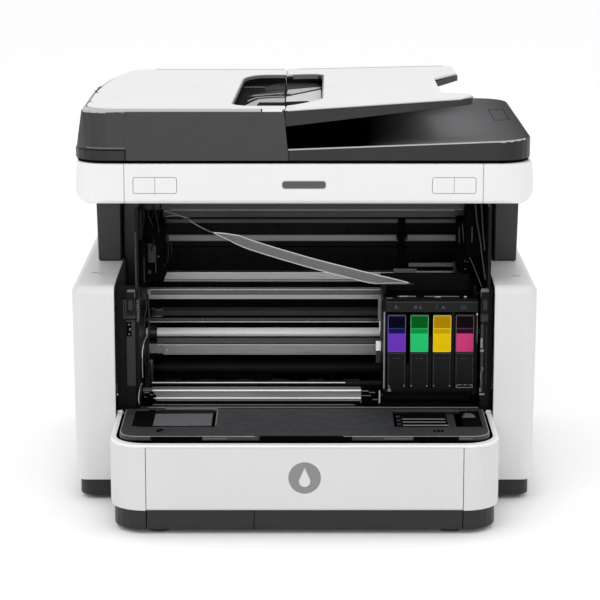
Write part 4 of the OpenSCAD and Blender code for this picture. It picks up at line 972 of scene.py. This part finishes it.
def make_feeder_trim():
    """Rim around the hatch, seams of the lid and the feeder block, and a black band painted as the shadow in
    the gap under the lid.
    """
    lean = -211.3

    def rim(bm):
        outer = [(-41, -111)] + [(max(x, lean), y) for x, y in arc(-187.5, -79, 32, 270, 180, 14)]
        inner = [(-41, -108.9)] + arc(-181.6, -82.0, 27.4, 270, 180, 14)
        outer += [(max(x, lean), y) for x, y in hatch_side(4.3)] + [(SPLIT - 0.5, 222.9)]
        inner += [(min(x, -209.1) if y < 72 else x, y) for x, y in hatch_side(1.2)] + [(SPLIT - 0.5, 219.2)]
        band(bm, outer, inner, 379.0, 381.5, 380.2, 382.8)

    piece("feeder.rim", RIM_LIGHT, "lid", rim, 0.3)

    def front_strip(bm):
        band(bm, [(-40.2, -111), (SPLIT - 0.6, -111)], [(-40.2, -108.9), (SPLIT - 0.6, -108.9)],
             378.6, 381.3, 380.2, 383.1)

    piece("feeder.front_strip", WHITE_TOP, "lid", front_strip, 0.3)
    plate("feeder.front_skin", FEEDER_DARK, "lid",
          [(-169.5, 333.9), (-15.1, 333.9), (-19.4, 380.3), (-169.5, 380.3)], "y", -111.45, -111.03, 0.1)
    boxes("feeder.seams", BLACK_PARTS_AND_SHADE, "lid", [(-41.1, -111.05, 378.4, -40.1, -108.9, 383.0)], 0.05)

    # A near-black band inside the gap under the lid: painted shadow in that gap.
    def shadow_band(bm):
        outer = rounded(-218.0, -110.6, 214.8, 220.2, [31, 31, 42, 50], 10)
        inner = rounded(-212.8, -104.4, 209.6, 215, [26, 26, 37, 45], 10)
        outer.append(outer[0])
        inner.append(inner[0])
        band(bm, outer, inner, 331.3, 333.6, 331.3, 333.6)

    piece("lid.gasket", BLACK_PARTS_AND_SHADE, "lid", shadow_band, 0.2)
    tubes("feeder.parting_line", RIM_GREY, "lid", [
        [(-217.1, -72, 346.0), (-216.9, -82, 346.0), (-214.6, -92, 345.9), (-209.5, -101.2, 345.9),
         (-201, -108.2, 345.9), (-192, -111.0, 345.9), (-181, -111.15, 345.9), (-170, -111.15, 345.8),
         (-163.5, -111.15, 345.2), (-159, -111.15, 344.2), (-156, -111.15, 343.6)],
    ], 0.28, 6)
    tubes("feeder.seam_lines", BLACK_PARTS_AND_SHADE, "lid", [
        [(-170, -111.1, 345.2), (-170, -111.1, 334.0)],
        [(-19.1, -111.4, 380.3), (-17.0, -111.4, 357), (-14.8, -111.4, 334.0)],
    ], 0.22, 6)


def make_throat():
    """Inside of the throat: black floor, grey ramp, its guide lines, finger recess and knob."""
    edge = SPLIT + 0.9
    # The near-black floor and the dark back plate stand in for the shade deep in the throat: painted shade.
    boxes("throat.floor", BLACK_PARTS_AND_SHADE, "lid", [
        (-74, -92, 374.2, TRAY_X0 - 0.1, 182, 374.8), (SPLIT - 3, -92, 366, TRAY_X0 - 0.1, 217, 374.0),
    ], 0.1)

    def back_plate(bm):
        add_prism(bm, [(-41.9, 120.4), (-38.6, 96.4), (edge, 114), (edge, 195)], "z", 374.8, 375.1)
        add_prism(bm, [(-35, 96.4), (-58, 52), (-52.2, 45), (edge - 2, 70), (edge, 112)], "z", 374.8, 375.0)

    piece("throat.back_plate", PAINTED_SHADE_GREY, "lid", back_plate, 0.1)
    plate("throat.ramp", RAMP_GREY, "lid",
          [(-60, -87), (-57.8, -36), (-53, -14), (-45.7, 13.2), (-34, 20), (edge, 25), (edge, -87)],
          "z", RAMP_BASE, RAMP_TOP, 0.5)
    guides = [
        [(-55.9, 0.2), (-51.4, 14.4), (-46.6, 25.5), (-36, 31.5), (edge - 0.5, 36.6)],
        [(-51.9, 42.0), (-42, 47.4), (-31, 54.8), (edge - 1, 62)],
    ]
    tubes("throat.ramp_lines", RAMP_GREY, "lid",
          [[(x, y, RAMP_TOP - 0.4) for x, y in guide] for guide in guides], 0.8, 8)

    def side_wall(bm):
        path = [(SPLIT - 0.3, 172)] + HATCH_THROAT[1:]
        band(bm, offset(path, -1.6), offset(path, -0.2), 374.6, 379.4, 374.6, 379.4)

    piece("throat.side_wall", PAINTED_SHADE_GREY, "lid", side_wall, 0.2)
    # The finger recess is a flat near-black patch on the ramp: painted shade in the recess.
    boxes("throat.recess", BLACK_PARTS_AND_SHADE, "lid", [(-43.4, -88, RAMP_TOP, edge, -16.5, RECESS_TOP)], 0.1)
    plate("throat.recess_end", BLACK_PARTS_AND_SHADE, "lid",
          [(-47.3, -88), (-47.0, -46), (-44.6, -17.6), (-43.3, -16.5), (-43.3, -88)],
          "z", RAMP_TOP, RECESS_TOP, 0.1)

    def knob(bm):
        add_rod(bm, (-24.0, 43.0, 376.5), (-24.0, 43.0, 378.2), 2.1, 24, 1.8)

    piece("throat.knob", GEAR_BLACK, "lid", knob, 0.2)


def make_input_tray():
    """White skin of the input tray, with its part of the throat."""
    def skin(bm):
        tip = TRAY_X1 - 1.8
        outline = [(TRAY_X0, -111), (tip - 9, -111)] + arc(tip - 8, -101.5, 7.8, 290, 360, 8)
        outline += [(tip, -85.4), (132, -62.2), (131.8, -56), (132.8, 80), (133.6, 84.6),
                    (tip - 3, 126.5), (tip, 131)]
        outline += arc(tip - 6, TRAY_Y1 - 6, 6, 0, 90, 6) + [(TRAY_X0, TRAY_Y1)]
        for y0, y1 in ((216.6, 212.0), (-103.0, -107.6)):
            if y0 < 0:
                outline += TRAY_THROAT[::-1]
            outline += [(TRAY_X0, y0), (-9, y0), (-9, y1), (TRAY_X0, y1)]
        add_prism(bm, outline, "z", HATCH_TOP - 2.4, HATCH_TOP)
        for v in bm.verts:
            if v.co.x < (TRAY_X0 + 0.01) * MM and v.co.z > (HATCH_TOP - 1) * MM:
                v.co.x += 2.5 * MM
        bmesh.ops.recalc_face_normals(bm, faces=bm.faces)
        follow_tray(bm, [-60 + 40 * i for i in range(7)])

    cover = piece("input_tray.skin", WHITE_TOP, "input_tray", skin, 0.5)
    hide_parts("feeder_tray_top")

    def lining(bm):
        path = TRAY_THROAT[1:-1] + [(-11.5, 172)]
        band(bm, offset(path, 0.05), offset(path, 1.3), 378.2, 383.1, 378.2, 382.7)
        lift_by(bm, tray_rise)

    piece("input_tray.throat_lining", THROAT_GREY, "input_tray", lining, 0.15)

    def rear_edge(bm):
        add_box(bm, (-8, 217.1, HATCH_TOP - 0.6), (TRAY_X1 - 10, 218, HATCH_TOP + 0.5))
        follow_tray(bm)

    piece("input_tray.rear_edge", RIM_LIGHT, "input_tray", rear_edge, 0.2)

    # A thin light-grey strip along the tray's front edge: a painted highlight.
    def front_edge(bm):
        add_box(bm, (TRAY_X0 + 3, -111.2, HATCH_TOP - 2.9), (TRAY_X1 - 12, -110.6, HATCH_TOP - 2.3))
        follow_tray(bm)

    piece("input_tray.front_line", RIM_LIGHT, "input_tray", front_edge, 0.1)

    edge = TRAY_X0 + 0.6
    plate("input_tray.throat_floor", PAINTED_SHADE_GREY, "input_tray",
          [(edge, -86), (2, -76), (14, -60), (17, -48), (17.6, 152), (10, 168), (edge, 171)],
          "z", 374.4, 375.2, 0.1)
    plate("input_tray.ramp", RAMP_LIGHT, "input_tray",
          [(edge, -86), (2, -76), (14, -60), (17.2, -48), (17.4, 92.5), (-13, 41), (edge, 33)],
          "z", RAMP_BASE + 0.2, RAMP_TOP, 0.5)
    plate("input_tray.ramp_band", EDGE_MID, "input_tray",
          [(-14.6, 54.2), (17.4, 107.6), (17.4, 119.8), (-16.8, 93.5), (-17.6, 60)],
          "z", 375.2, 376.6, 0.4)
    # The finger recess is a flat near-black patch on the ramp: painted shade in the recess.
    plate("input_tray.recess", BLACK_PARTS_AND_SHADE, "input_tray",
          [(edge, -86), (-2, -78), (4, -60), (7.5, -30), (7.3, -19), (3.2, -5.6), (edge, -12)],
          "z", RAMP_TOP, RECESS_TOP, 0.1)

    def knob(bm):
        add_rod(bm, (-15.4, 41.4, 376.6), (-15.4, 41.4, 378.6), 2.6, 24, 2.2)
        add_rod(bm, (-15.4, 41.4, 378.4), (-15.4, 41.4, 379.0), 1.2, 18)

    piece("input_tray.knob", GEAR_BLACK, "input_tray", knob, 0.2)
    # A near-black block in the throat's corner: painted shade in that corner.
    boxes("input_tray.throat_corner", BLACK_PARTS_AND_SHADE, "input_tray", [(14.6, 138, 377.5, 17.9, 158, 383.4)], 0.3)


def shelf_z(x):
    """Height of the output tray's surface."""
    return 344.1 + 9 * (x + 20) / 236.5


def on_shelf(x, y):
    return shelf_z(x)


def make_output_tray():
    """Skin, hump, lip and marks of the tray where originals come out."""
    x0, x1 = SPLIT + 1.6, 215.2

    def skin(bm):
        outline = [(x0, -110.2), (185, -110.2)] + arc(184.2, -78.2, 31.4, 280, 360, 8)
        outline += arc(x1 - 44, 177.5, 43.4, 0, 90, 8) + [(x0, 221.5)]
        add_prism(bm, outline, "z", 0.02, 0.42)
        cut_up(bm, [24 * i for i in range(9)], [-90 + 24 * i for i in range(13)])
        lift_by(bm, lambda x, y: shelf_z(x) + hump(x, y))

    def hump(x, y):
        along = math.exp(-((x - 112) / 46) ** 2)
        ridge = 4 + 6 * math.cos((x - 100) / 30)
        across = 1 / (1 + math.exp(-(y - ridge) / 4)) * math.exp(-max(0.0, y - ridge) / 60)
        return 2.2 * along * across

    piece("output_tray.skin", shelf_shade_and_sheen("output_skin", x0, x1), "lid", skin)
    # A dark line along the crease in front of the hump: painted shade in the crease.
    crease = [(62, 9, 0.5), (74, 4.6, 0.6), (94, -1.8, 0.6), (124, 1.8, 0.6), (150, 4.6, 0.6), (164, 5.5, 0.5)]
    tubes("output_tray.crease", BLACK_PARTS_AND_SHADE, "lid",
          [[(x, y, shelf_z(x) + rise) for x, y, rise in crease]], 0.3, 6)

    # A raised lip, made light grey on the dark tray as a painted highlight along its front edge.
    def lip(bm):
        outer, inner = (
            [(x, front) for x in (x0, 120, 184)] + arc(184.2, -78.8, radius, 275, 325, 8)
            for front, radius in ((-110.9, 32.1), (-110.0, 31.2))
        )
        band(bm, outer, inner, -1.2, 0.5, -1.2, 0.62)
        lift_by(bm, on_shelf)

    piece("output_tray.lip", RIM_LIGHT, "lid", lip, 0.12)

    def mark(bm):
        ax, ay, bx, by, t = 191.5, 35, 207, 120, 0.6
        for lo, hi in (((ax, ay), (bx, ay + 2.2)), ((ax, by - 2.2), (bx, by)),
                       ((ax, ay), (ax + t, by)), ((bx - t, ay), (bx, by))):
            add_box(bm, (*lo, 0.35), (*hi, 0.55))
        lift_by(bm, on_shelf)

    piece("output_tray.mark", BLACK_PARTS_AND_SHADE, "lid", mark)


# ---------------------------------------------------------------- front door and case

def make_door_details():
    """Lit edge lines, latch pockets, louvres, notches and small marks on the inside of the front door."""
    top = DECK_TOP / MM

    def line(bm, points, width, rise=0.3):
        points = [Vector(p) for p in points]
        for a, b in zip(points, points[1:]):
            direction = (b - a).normalized()
            side = Vector((-direction.y, direction.x)) * width / 2
            add_prism(bm, (a + side, b + side, b - side, a - side), "z", top - 0.2, top + rise)

    ring_piece("door.deck_rim", rounded(-172.8, -211.4, 172.8, HINGE_Y / MM - 3, [15, 15, 0.5, 0.5], 8),
               rounded(-166.5, -206, 166.5, HINGE_Y / MM - 3, [11, 11, 0.5, 0.5], 8), "z", 86.9, top + 0.05,
               LINER_DARK, "front_door", 0.3)

    def lit(bm):
        line(bm, [(-172.2, -193), (-170.4, -201.5), (-166, -207.4), (-158.5, -210.6), (-46, -210.6)], 1.0)
        line(bm, [(36, -210.6), (158.5, -210.6), (166, -207.4), (170.4, -201.5), (172.2, -193)], 1.0)
        line(bm, [(-172.3, -193), (-172.3, -113)], 0.5)
        line(bm, [(172.3, -193), (172.3, -113)], 0.5)
        line(bm, [(-134.6, -109.2), (-84, -109.2)], 0.9)
        line(bm, [(-84, -110), (-84, -170)], 0.5)

    piece("door.lit_lines", RIM_LIGHT, "front_door", lit, 0.08)

    def faint(bm):
        line(bm, [(-46, -206.5), (30, -206.5)], 1.2, 0.25)
        line(bm, [(-144, -112.5), (-88, -112.5)], 0.8, 0.25)
        line(bm, [(88, -178.5), (160, -178.5)], 0.7, 0.2)

    piece("door.faint_lines", DETAIL_GREY, "front_door", faint, 0.08)
    # Flat near-black patches on the deck stand for the latch pockets: painted shade in the pockets.
    boxes("door.left_pocket", BLACK_PARTS_AND_SHADE, "front_door", [
        (-163, -173, top - 0.3, -143.2, -117, top + 0.15),
        (-150, -119, top - 0.3, -143.6, -113.4, top + 0.15),
    ], 0.1)
    plate("door.pocket_ramp", RAMP_DARK, "front_door",
          [(-146, top - 0.3), (-146, top + 0.05), (-88, top + 0.45), (-88, top - 0.3)],
          "y", -171.5, -128, 0.1)
    plate("door.pocket_shadow", PAINTED_SHADE_GREY, "front_door",
          [(-141, top - 0.3), (-141, top + 0.1), (-88, top + 0.2), (-88, top - 0.3)],
          "y", -127.5, -114.5, 0.1)
    # Flat near-black patches for the right pockets: painted shade in the pockets.
    boxes("door.right_pocket", BLACK_PARTS_AND_SHADE, "front_door", [
        (91.6, -176.5, top - 0.3, 135.6, -126, top + 0.12), (149.6, -176, top - 0.3, 168, -118, top + 0.12),
    ], 0.1)
    boxes("door.slats", SLAT_GREY, "front_door", [
        (93, -149.5, top, 134, -146.6, top + 0.3), (93, -160.5, top, 134, -157.6, top + 0.3),
        (93, -172.5, top, 136, -169.2, top + 0.3),
    ], 0.1)
    boxes("door.cell_lines", EDGE_MID, "front_door", [
        (151, -141.5, top, 163.5, -140.0, top + 0.25), (154.5, -128, top, 160.5, -126.6, top + 0.25),
    ], 0.05)
    boxes("door.cell_steps", RAMP_DARK, "front_door", [(152.4, -139, top, 163, -130, top + 0.2)], 0.05)

    def glyphs(bm):
        add_prism(bm, rounded(-139, -194, -134.6, -186, 1.8, 4), "z", top - 0.1, top + 0.2)
        add_prism(bm, rounded(-135.8, -190, -132.4, -183, 1.4, 4), "z", top - 0.1, top + 0.2)
        for x in (121.8, 125.4, 129.0):
            add_prism(bm, rounded(x - 1.3, -194.5, x + 1.3, -187, 0.8, 4), "z", top - 0.1, top + 0.2)

    piece("door.glyphs", BLACK_PARTS_AND_SHADE, "front_door", glyphs)
    # Near-black plates on the deck's front wall stand for the notches: painted shade in them.
    boxes("door.notches", BLACK_PARTS_AND_SHADE, "front_door", [
        (-143, -211.9, 84.4, -95, -208.8, top + 0.15), (-42, -211.9, 84.4, 44, -208.6, top + 0.15),
        (101, -211.9, 84.4, 143, -208.8, top + 0.15), (-150, -211.6, 83.0, 150, -211.2, 86.0),
    ], 0.1)
    boxes("door.notch_edges", SLAT_GREY, "front_door", [
        (-94.6, -211.9, 88.4, -72, -211.5, 89.0), (74, -211.9, 88.4, 100.6, -211.5, 89.0),
        (143.4, -211.9, 88.4, 156, -211.5, 89.0),
    ], 0.05)

    def seam(bm):
        outline = rounded(-180.6, -225.2, 180.6, HINGE_Y / MM - 6, [29, 29, 0.5, 0.5], 10)
        inner = rounded(-179.0, -223.6, 179.0, HINGE_Y / MM - 6, [27.4, 27.4, 0.5, 0.5], 10)
        start = len(outline) - 1
        band(bm, outline[:start], inner[:start], 83.78, 84.3, 83.78, 84.3)

    piece("door.seam_filler", RIM_WHITE, "front_door", seam)


def make_case_details():
    """Small marks and frames on the outside of the case."""
    panel = low("scanner_front_panel")[1] / MM
    ring_piece("status_window.frame", rounded(-21.4, 307.2, 20.4, 314.8, 3, 5),
               rounded(-20.7, 307.9, 19.7, 314.1, 2.4, 5), "y", panel + 0.25, panel + 0.9,
               EDGE_MID, "chassis", 0.08)
    marks = [
        [(-210, -50), (-206, -49), (-204.6, -46.4), (-201.6, -52.4), (-198, -49)],
        [(202, -65), (206.6, -64), (211, -65.4)],
    ]
    tubes("cover.marks", MARK_GREY, "chassis",
          [[(x, y, COVER_TOP / MM + 0.02) for x, y in mark] for mark in marks], 0.35, 6)


make_cartridges()
make_ribbon()
make_rails()
make_left_works()
make_right_works()
make_carriage_details()
make_hatch()
make_feeder_trim()
make_throat()
make_input_tray()
make_output_tray()
make_door_details()
make_case_details()


# ---------------------------------------------------------------- light, floor and camera

def area_light(name, place, target, size, power, size_y=None):
    data = bpy.data.lights.new(name, "AREA")
    data.shape = "RECTANGLE"
    data.size = size
    data.size_y = size_y or size
    data.energy = power
    obj = bpy.data.objects.new(name, data)
    obj.location = place
    obj.rotation_euler = (Vector(target) - Vector(place)).to_track_quat("-Z", "Y").to_euler()
    bpy.context.scene.collection.objects.link(obj)


def make_stage():
    bm = bmesh.new()
    bmesh.ops.create_grid(bm, x_segments=1, y_segments=1, size=6)
    mesh = bpy.data.meshes.new("floor")
    bm.to_mesh(mesh)
    bm.free()
    floor = bpy.data.objects.new("floor", mesh)
    mesh.materials.append(moulded("floor_white", (0.98, 0.98, 0.98), 0.8, 2.0, 0.02, 0.002, gloss=0.2))
    bpy.context.scene.collection.objects.link(floor)

    world = bpy.data.worlds.new("studio")
    bpy.context.scene.world = world
    world.use_nodes = True
    world.node_tree.nodes["Background"].inputs["Color"].default_value = (1, 1, 1, 1)
    world.node_tree.nodes["Background"].inputs["Strength"].default_value = 1.0

    area_light("key", (-1.2, -1.6, 2.2), (0, 0, 0.2), size=1.4, power=7)
    area_light("top", (0.1, 0.3, 2.4), (0, 0, 0.3), size=1.6, power=6)
    area_light("bay", (0, -2.2, 0.55), (0, 0, 0.18), size=0.9, power=4, size_y=0.5)


def make_camera():
    data = bpy.data.cameras.new("camera")
    data.sensor_width = 36
    data.lens = 141.1
    data.clip_end = 50
    data.dof.use_dof = False
    cam = bpy.data.objects.new("camera", data)
    cam.location = (-0.0043, -2.318, 0.668)
    cam.rotation_euler = (math.radians(90 - 12), 0, 0)
    bpy.context.scene.collection.objects.link(cam)
    bpy.context.scene.camera = cam


make_stage()
make_camera()
